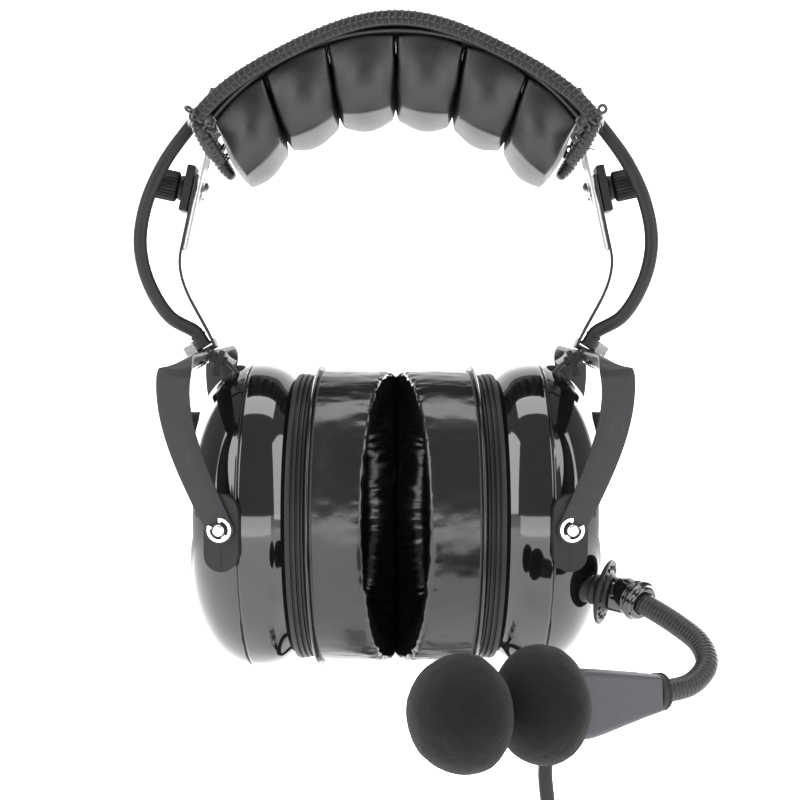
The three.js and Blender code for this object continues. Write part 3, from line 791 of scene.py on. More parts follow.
class HEADSET_OT_cord(HeadsetOperator, bpy.types.Operator):
    """Adds the lead with its gland, coil, tie and connector"""

    bl_idname = "headset.cord"
    bl_label = "Lead and connector"

    def execute(self, context):
        boot, shell, insulator, contacts = self.plug()
        gland = self.gland()
        tie = self.tie()
        route = self.route()
        cord = self.lead(route)
        whole = sum((b - a).length for a, b in zip(route, route[1:])) * MM
        tuple(route[0] * MM)
        return {"FINISHED"}

    def route(self):
        """Down from the cup, once around the coil for each turn, then to the connector."""
        top = CORD_EXIT.z - GLAND_END - 0.35
        by_hand = [
            (CORD_EXIT.x, CORD_EXIT.y, top), (CORD_EXIT.x, CORD_EXIT.y, top - 10), (54.6, 4, -235),
            (55.6, 3.5, -250), (56, 5.5, -263), (56, 11.5, -274), (56, 20, -281), (56, 26, -282.25)]
        start = smooth_path(by_hand, 6)
        lead_in = [Vector((56, y, -282.25)) for y in (33, 40)]
        exits = [Vector((COIL_END, y, z)) for y, z in (
            (43, -271.4), (36, -272.4), (30, -274.2), (25, -275.3), (20, -275.5))]
        return start + lead_in + self.coil() + exits

    def coil(self):
        """Turns that lie beside and on each other, and shift across under the tie."""
        radius = {"outer": COIL_OUTER, "inner": COIL_INNER}
        points = []
        for turn, here in enumerate(COIL_TURNS):
            after = COIL_TURNS[min(turn + 1, len(COIL_TURNS) - 1)]
            last = 180 if turn == len(COIL_TURNS) - 1 else 354
            for angle in range(0, last + 1, 6):
                share = min(max((angle - COIL_SHIFT_FROM) / (COIL_SHIFT_TO - COIL_SHIFT_FROM), 0), 1)
                share = share * share * (3 - 2 * share)
                r = radius[here[0]] + (radius[after[0]] - radius[here[0]]) * share
                level = here[1] + (after[1] - here[1]) * share
                a = math.radians(angle)
                rise = sizes().cord_radius * (1 + 2 * level)
                points.append(COIL_CENTRE + Vector((r * math.cos(a), r * math.sin(a), rise)))
        return points

    def lead(self, route):
        data = bpy.data.curves.new("cord", "CURVE")
        data.dimensions = "3D"
        data.bevel_depth = sizes().cord_radius * MM
        data.bevel_resolution = 3
        data.use_fill_caps = True
        spline = data.splines.new("POLY")
        spline.points.add(len(route) - 1)
        for point, place in zip(spline.points, route):
            point.co = (*(place * MM), 1)
        spline.use_smooth = True
        data.materials.append(finish("jacket"))
        cord = bpy.data.objects.new("cord", data)
        bpy.context.scene.collection.objects.link(cord)
        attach(cord, "cup_right")
        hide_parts("cord_tube", "cord_coil")
        return cord

    def gland(self):
        """A flanged boot with ribs that taper down the lead."""
        outline = [(0, -5.5), (4.1, -5.5), (4.1, 0.9), (5.4, 1.1), (5.4, 3.2), (4.2, 3.9)]
        ribs = 7
        for i in range(ribs):
            at = 4.4 + i * 1.55
            outer = 4.1 - i * 0.1
            outline += [(outer, at), (outer, at + 0.9), (outer - 0.55, at + 1.05), (outer - 0.55, at + 1.45)]
        outline += [(3.25, 15.4), (2.95, 16), (0, 16)]
        bm = turned(eased(outline, 0.18, 2), aimed(CORD_EXIT, (0, 0, -1)), 40)
        return piece("cord_gland_boot", bm, "rubber", "cup_right", ("cord_gland",), "rubber")

    def plug(self):
        """A ribbed boot, a knurled shell, and four contacts in an insulator."""
        place = aimed((COIL_END, 23, -275.5), (0, -1, 0))
        ribs = [(0, 0), (3.5, 0)]
        for i in range(7):
            at = 1.2 + i * 1.8
            outer = 3.9 + i * 0.24
            ribs += [(outer, at), (outer, at + 1.05), (outer - 0.5, at + 1.2), (outer - 0.5, at + 1.7)]
        ribs += [(5.6, 14), (7.5, 15), (7.5, 18), (0, 18)]
        boot = piece("plug_boot_ribbed", turned(eased(ribs, 0.2, 2), place, 40), "rubber", "cup_right",
                     ("plug_boot",), "rubber")
        grip = [(0, 18.4), (8.4, 18.4), (9.4, 19.6)]
        for i in range(9):
            at = 21 + i * 1.2
            grip += [(9.4, at), (9.0, at + 0.3), (9.0, at + 0.6), (9.4, at + 0.9)]
        grip += [
            (9.4, 46), (8.9, 46.6), (8.9, 47.6), (9.4, 48.2), (9.4, 57.4), (9.0, 58), (8.3, 58),
            (8.3, 50.1), (0, 50.1)]
        shell = piece("plug_shell_knurled", turned(eased(grip, 0.2, 2), place, 56), "steel", "cup_right",
                      ("plug_shell",), "bright_steel")
        face = turned(eased([(0, 50.2), (8.1, 50.2), (8.1, 52), (0, 52)], 0.3, 2), place, 40)
        key = turned([(0, 52), (1.1, 52), (1.1, 52.6), (0, 52.6)], place, 16)
        insulator = piece("plug_insulator", join(face, key), "plastic", "cup_right", (), "matte_plastic")
        pins = []
        outline = eased([(0, 51.9), (0.9, 51.9), (0.9, 56), (0.5, 57), (0, 57)], 0.2, 2)
        for i in range(4):
            turn = Matrix.Rotation(math.radians(45 + 90 * i), 4, "Z")
            spot = place @ turn @ Matrix.Translation((4.4, 0, 0))
            pins.append(turned(outline, spot, 16))
        contacts = piece("plug_contacts", join(*pins), "steel", "cup_right", (), "bright_steel")
        return boot, shell, insulator, contacts

    def tie(self):
        """A hook-and-loop strap around the coil where its turns cross."""
        a = math.radians(330)
        out = Vector((math.cos(a), math.sin(a), 0))
        centre = COIL_CENTRE + out * (COIL_OUTER + COIL_INNER) / 2 + Vector((0, 0, 8.25))
        place = aimed(centre, (-math.sin(a), math.cos(a), 0), out)
        loop = rounded_bar(5.9, 8.7, 3.2, 6)
        inside = rounded_bar(5.1, 7.9, 2.4, 6)
        bm = bmesh.new()
        rings = []
        for outline, width in ((loop, 7), (loop, -7), (inside, -7), (inside, 7)):
            # The underside stops short of the ground
            rings.append(closed(bm, [
                bm.verts.new(place @ Vector((x, max(y, -8.1), width))) for x, y in outline]))
        bridged(bm, rings)
        return piece("coil_tie", bm, "thread", "cup_right", (), "rubber", bevel=0.25)


# Cups

SHELL_PROFILE = (
    (49.5, 34.95), (53.2, 40), (55, 47), (54.6, 54), (50.5, 62), (40.5, 69.3), (24, 72.6), (0, 73.6))
# Depth over height, front to back
SHELL_SQUEEZE = 0.76
PLATE_SQUEEZE = 39.4 / 51.5
WELT_SQUEEZE = 0.757
CLOTH_SQUEEZE = 0.66
SEAM_X = 51.0
SHELL_WALL = 2.4
PLATE_X = 28.0
PLATE_END = 34.6
PIN_X = 55.9


def cup_lathe(squeeze):
    """Turns a lathe's Z axis onto the cup's own axis, and squeezes the shape front to back."""
    return CUP @ Matrix.Diagonal((1, squeeze, 1, 1)) @ Matrix(
        ((0, 0, 1, 0), (0, 1, 0, 0), (-1, 0, 0, 0), (0, 0, 0, 1)))


CUP_LATHE = cup_lathe(SHELL_SQUEEZE)


def shell_curve():
    points = smooth_path([(radius, x, 0) for radius, x in SHELL_PROFILE], 7)
    return [(max(point.x, 0.0), point.y) for point in points]


def shell_radius(x):
    """The gloss shell's long radius at a distance along the cup's axis."""
    curve = shell_curve()
    for (r0, x0), (r1, x1) in zip(curve, curve[1:]):
        if x0 <= x <= x1:
            return r0 + (r1 - r0) * (x - x0) / max(x1 - x0, 1e-6)
    return 0.0


class HEADSET_OT_cups(HeadsetOperator, bpy.types.Operator):
    """Adds the gloss shells, seal plates, pin bosses, rings and what is inside the cups"""

    bl_idname = "headset.cups"
    bl_label = "Cups"

    def execute(self, context):
        pair("gloss_inner", self.inner(), "gloss", "cup", ("cup_inner_shell",), "gloss_shell", angle=50)
        pair("gloss_outer", self.outer(), "gloss", "cup", ("cup_outer_shell",), "gloss_shell", angle=50)
        pair("seam_gasket", self.gasket(), "rubber", "cup", (), "rubber")
        pair("stepped_plate", self.plate(), "plastic", "cup", ("seal_plate",), "matte_plastic")
        pair("driver_grille", self.grille(), "felt", "cup", (), "foam")
        for end, side in (("front", -1), ("rear", 1)):
            self.boss(end, side)
            self.ring(end, side)
        for name, look in (("speaker_driver", "plastic"), ("damping_block", "foam")):
            for side in SIDES:
                slots = frame["nodes"][f"{name}_{side}"].material_slots
                slots[0].material = finish(look)
        return {"FINISHED"}

    def inner(self):
        """The half shell by the seal, rounded at the seam."""
        outside = [(r, x) for r, x in shell_curve() if x < SEAM_X - 0.5]
        seam_r = shell_radius(SEAM_X)
        outline = [(47, 34.95)] + outside + [
            (seam_r, SEAM_X - 0.4), (seam_r - 0.4, SEAM_X), (seam_r - SHELL_WALL, SEAM_X)]
        back = [(r - SHELL_WALL, x) for r, x in reversed(outside) if r - SHELL_WALL > 47.2 and x > 36]
        return turned(outline + back + [(47, 35.5), (47, 34.95)], CUP_LATHE, 128)

    def outer(self):
        """The domed shell beyond the seam."""
        outside = [(r, x) for r, x in shell_curve() if x > SEAM_X + 0.9]
        seam_r = shell_radius(SEAM_X + 0.35)
        outline = [
            (seam_r - SHELL_WALL, SEAM_X + 0.35), (seam_r - 0.4, SEAM_X + 0.35), (seam_r, SEAM_X + 0.75)]
        outline += outside
        back = [(max(r - SHELL_WALL, 0), x - (SHELL_WALL * 0.8 if r < 45 else 0))
                for r, x in reversed(outside)]
        return turned(outline + back + [outline[0]], CUP_LATHE, 128)

    def gasket(self):
        """A thin black line that fills the seam between the two shells."""
        r = shell_radius(SEAM_X + 0.2) - 0.45
        x0, x1 = SEAM_X - 0.3, SEAM_X + 0.65
        return turned([(r - 1.2, x0), (r, x0), (r, x1), (r - 1.2, x1), (r - 1.2, x0)], CUP_LATHE, 96)

    def plate(self):
        """Stepped rings that narrow towards the seal, with a thin lip."""
        steps = [
            (22, PLATE_END), (51.5, PLATE_END), (51.8, 33.6), (51.8, 32.9), (51.0, 32.6), (51.0, 32.2),
            (51.6, 31.9), (51.6, 31.1), (50.6, 30.8), (50.6, 30.4), (51.2, 30.1), (51.2, 29.4),
            (50.4, 29.1), (50.4, 28.4), (50.0, PLATE_X), (22, PLATE_X), (21.4, 28.6), (21.4, 34.0),
            (22, PLATE_END)]
        return turned(steps, cup_lathe(PLATE_SQUEEZE), 96)

    def grille(self):
        """Dark cloth stretched over the driver, set in behind the seal."""
        outline = [(0, 26.2), (12, 26.1), (24, 25.9), (31, 26.4), (32.5, 27.3), (32.0, 27.7), (0, 27.7)]
        return turned(outline, cup_lathe(CLOTH_SQUEEZE), 64)

    def boss(self, end, side):
        """An oval pad with a split line, and the grooved pin that the yoke turns on."""
        bm = cad_shape(f"pin_boss_{end}_right")
        pair(f"boss_{end}", bm, "plastic", "cup", (f"pin_boss_{end}",), "matte_plastic", bevel=0.45)
        trim = bmesh.new()
        bmesh.ops.create_cube(trim, size=1)
        bmesh.ops.scale(trim, vec=(0.35, 0.25, 7.6), verts=trim.verts)
        bmesh.ops.translate(trim, vec=(PIN_X, side * 45.75, -10.8), verts=trim.verts)
        bmesh.ops.transform(trim, matrix=CUP, verts=trim.verts)
        pair(f"boss_split_{end}", trim, "rubber", "cup", (), "matte_plastic")

    def ring(self, end, side):
        """An E-shaped retaining ring: three lugs grip the pin's groove."""
        bm = bmesh.new()
        outline = []
        for i in range(61):
            angle = math.radians(-240 + 300 * i / 60)
            outline.append((4.25 * math.cos(angle), 4.25 * math.sin(angle)))
        lugs = []
        for i in range(60, -1, -1):
            degrees = -240 + 300 * i / 60
            near = min(abs(degrees - lug) for lug in (-236, -90, 56))
            radius = 2.1 if near < 16 else 3.1
            lugs.append((radius * math.cos(math.radians(degrees)), radius * math.sin(math.radians(degrees))))
        ring = [bm.verts.new((a, 0, b)) for a, b in outline + lugs]
        moved = new_verts(bmesh.ops.extrude_face_region(bm, geom=[bm.faces.new(ring)]))
        bmesh.ops.translate(bm, vec=(0, 0.7, 0), verts=moved)
        turn = Matrix.Rotation(math.radians(35), 3, "Y")
        bmesh.ops.rotate(bm, cent=(0, 0, 0), matrix=turn, verts=bm.verts)
        start = 48.35 if side > 0 else -49.05
        bmesh.ops.translate(bm, vec=(PIN_X, start, 0), verts=bm.verts)
        bmesh.ops.transform(bm, matrix=CUP, verts=bm.verts)
        bmesh.ops.recalc_face_normals(bm, faces=bm.faces)
        pair(f"e_ring_{end}", bm, "steel", "cup", (f"retaining_ring_{end}",), "bright_steel", bevel=0.14)
        cap = turned(eased([(0, 0), (2.05, 0), (2.05, 0.6), (1.5, 0.9), (0, 0.9)], 0.2, 2),
                     CUP @ aimed((PIN_X, side * 49.9, 0), (0, side, 0)), 24)
        pair(f"pin_end_{end}", cap, "steel", "cup", (), "bright_steel")


class HEADSET_OT_seals(HeadsetOperator, bpy.types.Operator):
    """Adds the two soft ear seals"""

    bl_idname = "headset.seals"
    bl_label = "Ear seals"

    OUTER = (39.6, 52.6)
    HOLE = (20.5, 32.5)
    SLANT = 8.4
    FACE_AT = 1.9

    def execute(self, context):
        twins = {"right": self.seal(11, 1), "left": mirrored(self.seal(29, -1))}
        for side in SIDES:
            made = piece(f"vinyl_seal_{side}", twins[side], "vinyl", f"cup_{side}", (f"ear_seal_{side}",),
                         "seal_vinyl", angle=180)
        pair("seal_lip", self.lip(), "vinyl", "cup", (), "seal_vinyl", angle=60)
        pair("seal_hem", self.hem(), "thread", "cup", (), "seal_vinyl")
        return {"FINISHED"}

    def face_x(self, y):
        """How far from the middle the seal's face lies, before the cup is toed out."""
        return self.FACE_AT - y * math.tan(math.radians(self.SLANT))

    def seal(self, seed, side):
        """A padded ring: straight outer wall, narrow rim, hollowed face, and a wall around the ear."""
        around = 240
        base_x = PLATE_X - 0.6
        # Share of the way from the outer wall to the hole, share of the seal's thickness below its
        # face, and millimetres below its face
        section = [
            (0.012, 1.0, 0.0), (0.0, 0.97, 0.0), (0.0, 0.80, 0.0), (-0.006, 0.62, 0.0), (-0.006, 0.45, 0.0),
            (0.0, 0.30, 0.0), (0.008, 0.0, 3.2), (0.02, 0.0, 1.3), (0.045, 0.0, 0.35), (0.085, 0.0, 0.0),
            (0.13, 0.0, 0.25), (0.2, 0.0, 0.9), (0.3, 0.0, 1.5), (0.42, 0.0, 1.8), (0.55, 0.0, 2.2),
            (0.68, 0.0, 3.0), (0.8, 0.0, 4.4), (0.9, 0.0, 6.4), (1.0, 0.42, 0.0), (0.98, 0.55, 0.0),
            (0.95, 0.68, 0.0), (0.93, 0.82, 0.0), (0.95, 0.97, 0.0), (0.97, 1.0, 0.0)]
        bm = bmesh.new()
        loops = []
        for share, deep, below in section:
            ring = []
            for i in range(around):
                a = 2 * math.pi * i / around
                wide = self.OUTER[0] + (self.HOLE[0] - self.OUTER[0]) * share
                tall = self.OUTER[1] + (self.HOLE[1] - self.OUTER[1]) * share
                y, z = wide * math.cos(a), tall * math.sin(a)
                face = self.face_x(y)
                x = base_x if deep == 1.0 else face + below + (base_x - face) * deep
                spot = Vector((x, y, z)) + self.crease(share, deep, a, seed)
                ring.append(bm.verts.new(spot))
            loops.append(closed(bm, ring))
        bridged(bm, loops)
        bmesh.ops.subdivide_edges(bm, edges=bm.edges, cuts=1, use_grid_fill=True)
        for vert in bm.verts:
            vert.co += self.fine_crease(vert.co, seed)
        bmesh.ops.transform(bm, matrix=CUP, verts=bm.verts)
        self.press_flat(bm, side)
        return bm

    def crease(self, share, deep, a, seed):
        """Broad folds: the wall pulls in between points, and the inner rim is gathered."""
        height = sizes().seal_wrinkle
        u = Vector((math.cos(a) * 2.2, math.sin(a) * 2.2, deep * 1.3 + share * 2 + seed))
        wave = noise.noise(u) * height * 0.9
        rim = math.exp(-((share - 0.09) / 0.07) ** 2) + 0.8 * math.exp(-((share - 0.85) / 0.2) ** 2)
        gather = math.sin(a * 34 + 3 * noise.noise(u * 1.7)) * noise.noise(u * 2.9 + Vector((5, 0, 0)))
        outward = Vector((0, math.cos(a), math.sin(a)))
        side = -1.0 if share > 0.5 else 0.55
        return outward * wave * side + (outward * 1.3 + Vector((1.0, 0, 0))) * gather * rim * height * 1.2

    def fine_crease(self, spot, seed):
        """Sharp small creases, strongest near the rim of the ear hole."""
        across = math.hypot(spot.y / self.HOLE[0], spot.z / self.HOLE[1])
        near = math.exp(-((across - 1.35) / 0.34) ** 2)
        q = Vector((spot.x * 0.16, spot.y * 0.14, spot.z * 0.14 + seed))
        ridge = 1 - abs(noise.noise(q)) * 2
        ridge = max(ridge - 0.72, 0) / 0.28
        small = 1 - abs(noise.noise(q * 2.3 + Vector((9, 2, 4)))) * 2
        small = max(small - 0.7, 0) / 0.3
        amount = (ridge ** 1.5 * 0.25 + small * 0.7 * near + ridge * 0.8 * near) * sizes().seal_wrinkle
        away = Vector((0, spot.y, spot.z)).normalized()
        return (Vector((1, 0, 0)) * 0.6 - away * 0.5 * near) * amount

    def press_flat(self, bm, side):
        """The two seals meet along one waved surface and flatten each other."""
        for vert in bm.verts:
            meeting = 0.3 + side * 0.8 * math.sin(vert.co.y * 1.15)
            if vert.co.x < meeting + 1.6:
                vert.co.x = meeting + max(vert.co.x - meeting, 0) * 0.35

    def lip(self):
        """The thin welt where the vinyl is rolled over the plate's edge."""
        outline = [
            (50.5, 26.9), (53.4, 26.6), (54.3, 26.3), (54.6, 26.6), (54.4, 27.1), (53.4, 27.6), (50.5, 27.8),
            (50.5, 26.9)]
        return turned(outline, cup_lathe(WELT_SQUEEZE), 128)

    def hem(self):
        """A sewn bead behind the welt."""
        return turned(bead_ring(52.3, 25.6, 0.5), cup_lathe(WELT_SQUEEZE), 128)


# Headband

PAD_CENTRE = Vector((0, 0, -53.4))
COVER_R = 89.8
COVER_HALF = 31.0
COVER_ANGLE = 54.0
BINDING_DROP = 3.1
CUSHION_R = 82.4
CUSHION_IN_R = 68.0
CUSHION_HALF = 28.5
CUSHION_ANGLE = 52.0


def edge_dip(angle):
    """How far the cover's long edges are pulled in below its crown, millimetres."""
    return 2.6 * math.sin(math.pi * min(abs(angle) / COVER_ANGLE, 1)) ** 2


def arc_place(angle, radius, y=0.0):
    """A place on the headband's arc: X runs backwards, Y away from the head, Z along the arc."""
    a = math.radians(angle)
    back = Vector((0, 1, 0))
    out = Vector((math.sin(a), 0, math.cos(a)))
    return placed(PAD_CENTRE + out * radius + back * y, back, out, back.cross(out))


class HEADSET_OT_headband(HeadsetOperator, bpy.types.Operator):
    """Adds the stitched cover, the puffed cushions and the gathered ends"""

    bl_idname = "headset.headband"
    bl_label = "Headband"

    def execute(self, context):
        cover = piece("stitched_cover", self.cover(), "leather", "headband", ("headband_cover",), "leather",
                      angle=180)
        cushion = piece("puffed_cushion", self.cushions(), "leather", "headband", ("headband_cushion",),
                        "leather", angle=180, levels=1)
        piece("cushion_backing", self.backing(), "leather", "headband", (), "leather", angle=60)
        piece("edge_binding", self.binding(), "leather", "headband", (), "leather", angle=60)
        piece("whip_stitches", self.stitches(), "thread", "headband", (), "leather", angle=180)
        piece("gathered_ends", self.gathers(), "leather", "headband", (), "leather", angle=180)
        piece("end_knots", self.knots(), "thread", "headband", (), "leather", angle=180)
        spring = cad_shape("headband_spring")
        piece("spring_strip", spring, "spring", "headband", ("headband_spring",), "spring_steel", bevel=0.25,
              angle=30)
        return {"FINISHED"}

    def cover(self):
        """A crowned pad: its edges are pulled down by the binding and gathered at both ends."""
        outline = []
        for i in range(33):
            y = -1 + 2 * i / 32
            crown = -0.25 - 3.3 * abs(y) ** 2.6
            outline.append((y * COVER_HALF, crown))
        for i in range(33):
            y = 1 - 2 * i / 32
            outline.append((y * (COVER_HALF - 0.6), -5.9 + 0.6 * abs(y) ** 4))
        steps = 120
        places, scales = [], []
        for i in range(steps + 1):
            angle = -COVER_ANGLE + 2 * COVER_ANGLE * i / steps
            places.append(arc_place(-angle, COVER_R))
            near = max((abs(angle) - COVER_ANGLE + 7) / 7, 0)
            scales.append((1 - 0.1 * near ** 2, 1 - 0.25 * near ** 3))
        bm = swept(outline, places, scales)
        for vert in bm.verts:
            self.soften(vert)
        return bm

    def soften(self, vert):
        """Small hollows where the leatherette is drawn towards the stitches."""
        flat = Vector((vert.co.x, 0, vert.co.z)) - PAD_CENTRE
        angle = math.degrees(math.atan2(flat.x, flat.z))
        edge = max(abs(vert.co.y) / COVER_HALF - 0.55, 0) / 0.45
        ripple = noise.noise(Vector((angle * 0.32, vert.co.y * 0.05, 1.0)))
        end = max(abs(angle) - 44, 0) / 10
        pleat = math.sin(vert.co.y * 1.1) * end ** 2
        pulled = edge_dip(angle) * (abs(vert.co.y) / COVER_HALF) ** 2.4
        vert.co += flat.normalized() * (ripple * 0.5 * edge + pleat * 0.45 - 0.5 * end * edge - pulled)

    def cushions(self):
        """Puffs side by side, each crowned, with deep creases between them."""
        count = sizes().puffs
        half = CUSHION_ANGLE / count
        shapes = []
        for k in range(count):
            centre = -CUSHION_ANGLE + half * (2 * k + 1)
            bm = bmesh.new()
            bmesh.ops.create_cube(bm, size=2)
            bmesh.ops.subdivide_edges(bm, edges=bm.edges, cuts=19, use_grid_fill=True)
            for vert in bm.verts:
                vert.co = self.puff_point(vert.co, centre, half, k)
            bmesh.ops.recalc_face_normals(bm, faces=bm.faces)
            shapes.append(bm)
        return join(*shapes)

    def puff_point(self, cube, centre, half, seed):
        ball = cube.normalized() * 1.16
        round_share = 0.62 - 0.26 * (cube.z + 1) * 0.5 if cube.z < 0.2 else 0.46 - 0.3 * (cube.z - 0.2)
        puff = cube.lerp(ball, round_share)
        # The cube's edges soften more at the bottom, where the foam pushes out
        swell = 1 + 0.05 * (1 - puff.x ** 2) * (1 - puff.y ** 2) * (1 if puff.z < 0 else 0.4)
        angle = centre + half * 1.015 * puff.x
        y = CUSHION_HALF * puff.y * swell
        a, b = math.radians(angle), math.radians(angle * 51 / 52)
        top = PAD_CENTRE + Vector((math.sin(a), 0, math.cos(a))) * CUSHION_R
        low = Vector((0, 0, -CUSHION_IN_R)) + Vector((math.sin(b), 0, math.cos(b))) * CUSHION_IN_R
        depth = (1 - puff.z * swell) / 2
        spot = top.lerp(low, depth)
        spot.y = y
        side = max(abs(puff.x) - 0.6, 0) / 0.4
        tuck = noise.noise(Vector((puff.y * 5, puff.z * 3, seed * 7.0 + puff.x * 2)))
        spot += (low - top).normalized() * tuck * 0.7 * side
        spot.x += noise.noise(Vector((puff.y * 2.1, puff.z * 2, seed * 3.1))) * 0.35
        return spot

    def backing(self):
        """The flat leatherette that the puffs are sewn to, which closes the gap under the cover."""
        outline = rounded_bar(CUSHION_HALF + 0.6, 0.75, 0.6, 2)
        places = [arc_place(-angle, CUSHION_R + 0.35) for angle in range(-51, 52, 3)]
        return swept(outline, places)

    def binding(self):
        """A flat band folded over each long edge of the cover."""
        bands = []
        for side in (-1, 1):
            outline = rounded_bar(0.95, 2.75, 0.9, 4)
            places = []
            for i in range(109):
                angle = -COVER_ANGLE + 2 * COVER_ANGLE * i / 108
                place = arc_place(-angle, COVER_R - BINDING_DROP - edge_dip(angle), side * (COVER_HALF - 0.2))
                places.append(place)
            bands.append(swept(outline, places))
        return join(*bands)

    def stitches(self):
        """Two rows of whip stitches over each binding, with a chain of thread between the rows."""
        reach = math.radians(2 * COVER_ANGLE) * (COVER_R - 3)
        count = int(reach / sizes().stitch_pitch)
        draw = random.Random(5)
        places = []
        for side in (-1, 1):
            for i in range(count):
                angle = -COVER_ANGLE + 2 * COVER_ANGLE * (i + 0.5) / count
                edge_r = COVER_R - BINDING_DROP - edge_dip(angle)
                for row, tilt in ((1.35, 14), (-1.45, -12)):
                    place = arc_place(-angle, edge_r + row, side * (COVER_HALF + 0.72))
                    turn = Matrix.Rotation(math.radians(tilt + draw.uniform(-9, 9)), 4, "X")
                    shape = Matrix.Diagonal((0.5, 1.42 + draw.uniform(-0.15, 0.15), 0.42, 1))
                    places.append(place @ turn @ shape)
                chain = arc_place(-angle - 0.5, edge_r + draw.uniform(-0.15, 0.1), side * (COVER_HALF + 0.85))
                places.append(chain @ Matrix.Diagonal((0.42, 0.36, 1.12, 1)))
                over = arc_place(-angle - 0.2, edge_r + 2.6, side * (COVER_HALF - 0.75))
                lean = Matrix.Rotation(math.radians(side * -35), 4, "Z")
                places.append(over @ (lean @ Matrix.Diagonal((1.35, 0.4, 0.42, 1))))
        bead = bmesh.new()
        bmesh.ops.create_uvsphere(bead, u_segments=8, v_segments=6, radius=1)
        bm = bmesh.new()
        repeated(bm, bead, places)
        bead.free()
        return bm

    def gathers(self):
        """Ribbed bunches where the cover's ends are drawn together and turned under."""
        shapes = []
        for side in (-1, 1):
            for edge in (-1, 1):
                path = smooth_path([
                    (side * 70.5, edge * 29.2, -3.2), (side * 67.6, edge * 30.2, -8.2),
                    (side * 64.6, edge * 29.6, -13.2), (side * 61.2, edge * 27.6, -17.6)], 14)
                path = even_path(path, 0.28)
                places = carried(path, (0, 1, 0))
                scales = []
                for i in range(len(places)):
                    t = i / (len(places) - 1)
                    rib = 0.84 + 0.16 * abs(math.sin(i * 0.28 * math.pi / 1.75))
                    fade = math.sin(math.pi * (0.12 + 0.8 * t)) ** 0.35
                    scales.append((rib * fade, rib * fade))
                shapes.append(swept(circle(2.9, 20), places, scales))
            shapes.append(self.end_roll(side))
        return join(*shapes)

    def end_roll(self, side):
        """The cover's short end, rolled and bunched from front to back."""
        path = [Vector((side * (71.2 + 0.8 * math.sin(y * 0.31)), y, -1.6 + 0.8 * math.sin(y * 0.23 + 1)))
                for y in (-29 + 58 * i / 90 for i in range(91))]
        places = carried(path, (1, 0, 0))
        scales = [(0.86 + 0.14 * abs(math.sin(i * 0.62)),) * 2 for i in range(len(places))]
        return swept(circle(2.5, 18), places, scales)

    def knots(self):
        """Thread knots and short loose ends at each corner."""
        draw = random.Random(9)
        shapes = []
        for side in (-1, 1):
            for edge in (-1, 1):
                for k in range(6):
                    centre = Vector((side * (72.6 - 1.9 * k), edge * (31.6 + draw.uniform(-0.6, 0.4)),
                                     1.2 - 2.0 * k + draw.uniform(-0.7, 0.7)))
                    axis = Vector((draw.uniform(-1, 1), draw.uniform(-1, 1), draw.uniform(-1, 1)))
                    shapes.append(turned(bead_ring(1.35, 0, 0.62), aimed(centre, axis), 16))
                for k in range(3):
                    start = Vector((side * (70.5 - 3 * k), edge * 31.8, -2.5 - 3.4 * k))
                    drift = Vector((side * draw.uniform(-0.5, 1.5), edge * draw.uniform(0.0, 0.6), -1.6))
                    bend = Vector((draw.uniform(-1, 1), 0, draw.uniform(-0.6, 0.6)))
                    path = smooth_path(
                        [start, start + drift + bend, start + drift * 2.0, start + drift * 2.9 - bend], 5)
                    shapes.append(swept(circle(0.24, 6), carried(path, (0, 1, 0))))
        return join(*shapes)


# Sliders, knobs, bolts and arch cables

GUIDE = joint_axis("slider_travel_right")
KNOB_AXIS = joint_axis("thumb_turn_right")
KNOB_ROOT = joint_origin("thumb_turn_right")
GUIDE_TOP = Vector((69, 0, -15))
FOOT_BEND = Vector((65.5, 0, -81))
FOOT_SLOPE = math.radians(30)
FOOT_ALONG = Vector((math.cos(FOOT_SLOPE), 0, -math.sin(FOOT_SLOPE)))
FOOT_UP = Vector((math.sin(FOOT_SLOPE), 0, math.cos(FOOT_SLOPE)))
BOLT_POINT = TOE_PIVOT
STRAP_HALF = 8.0
SHEET_T = 1.2
SLIDER_OFFSET = 1.7
SLEEVE_FOOT = FOOT_BEND + FOOT_ALONG * 3.6 + FOOT_UP * 1.1 + Vector((0, -5.2, 0))
SLEEVE_H = 5.0
CABLE_ROUTE = (
    (64.5, -8.5, 10.5), (66.5, -9, 6.5), (74.2, -10, -3), (83.2, -10.5, -15.6), (89.6, -11, -30),
    (91.9, -11, -44.7), (89, -10.5, -58.5), (81.4, -8.2, -71))


def bezier(points, steps):
    """Points on a cubic curve with four control points."""
    made = []
    for i in range(steps + 1):
        t = i / steps
        weights = ((1 - t) ** 3, 3 * t * (1 - t) ** 2, 3 * t * t * (1 - t), t ** 3)
        made.append(sum((Vector(p) * w for p, w in zip(points, weights)), Vector()))
    return made


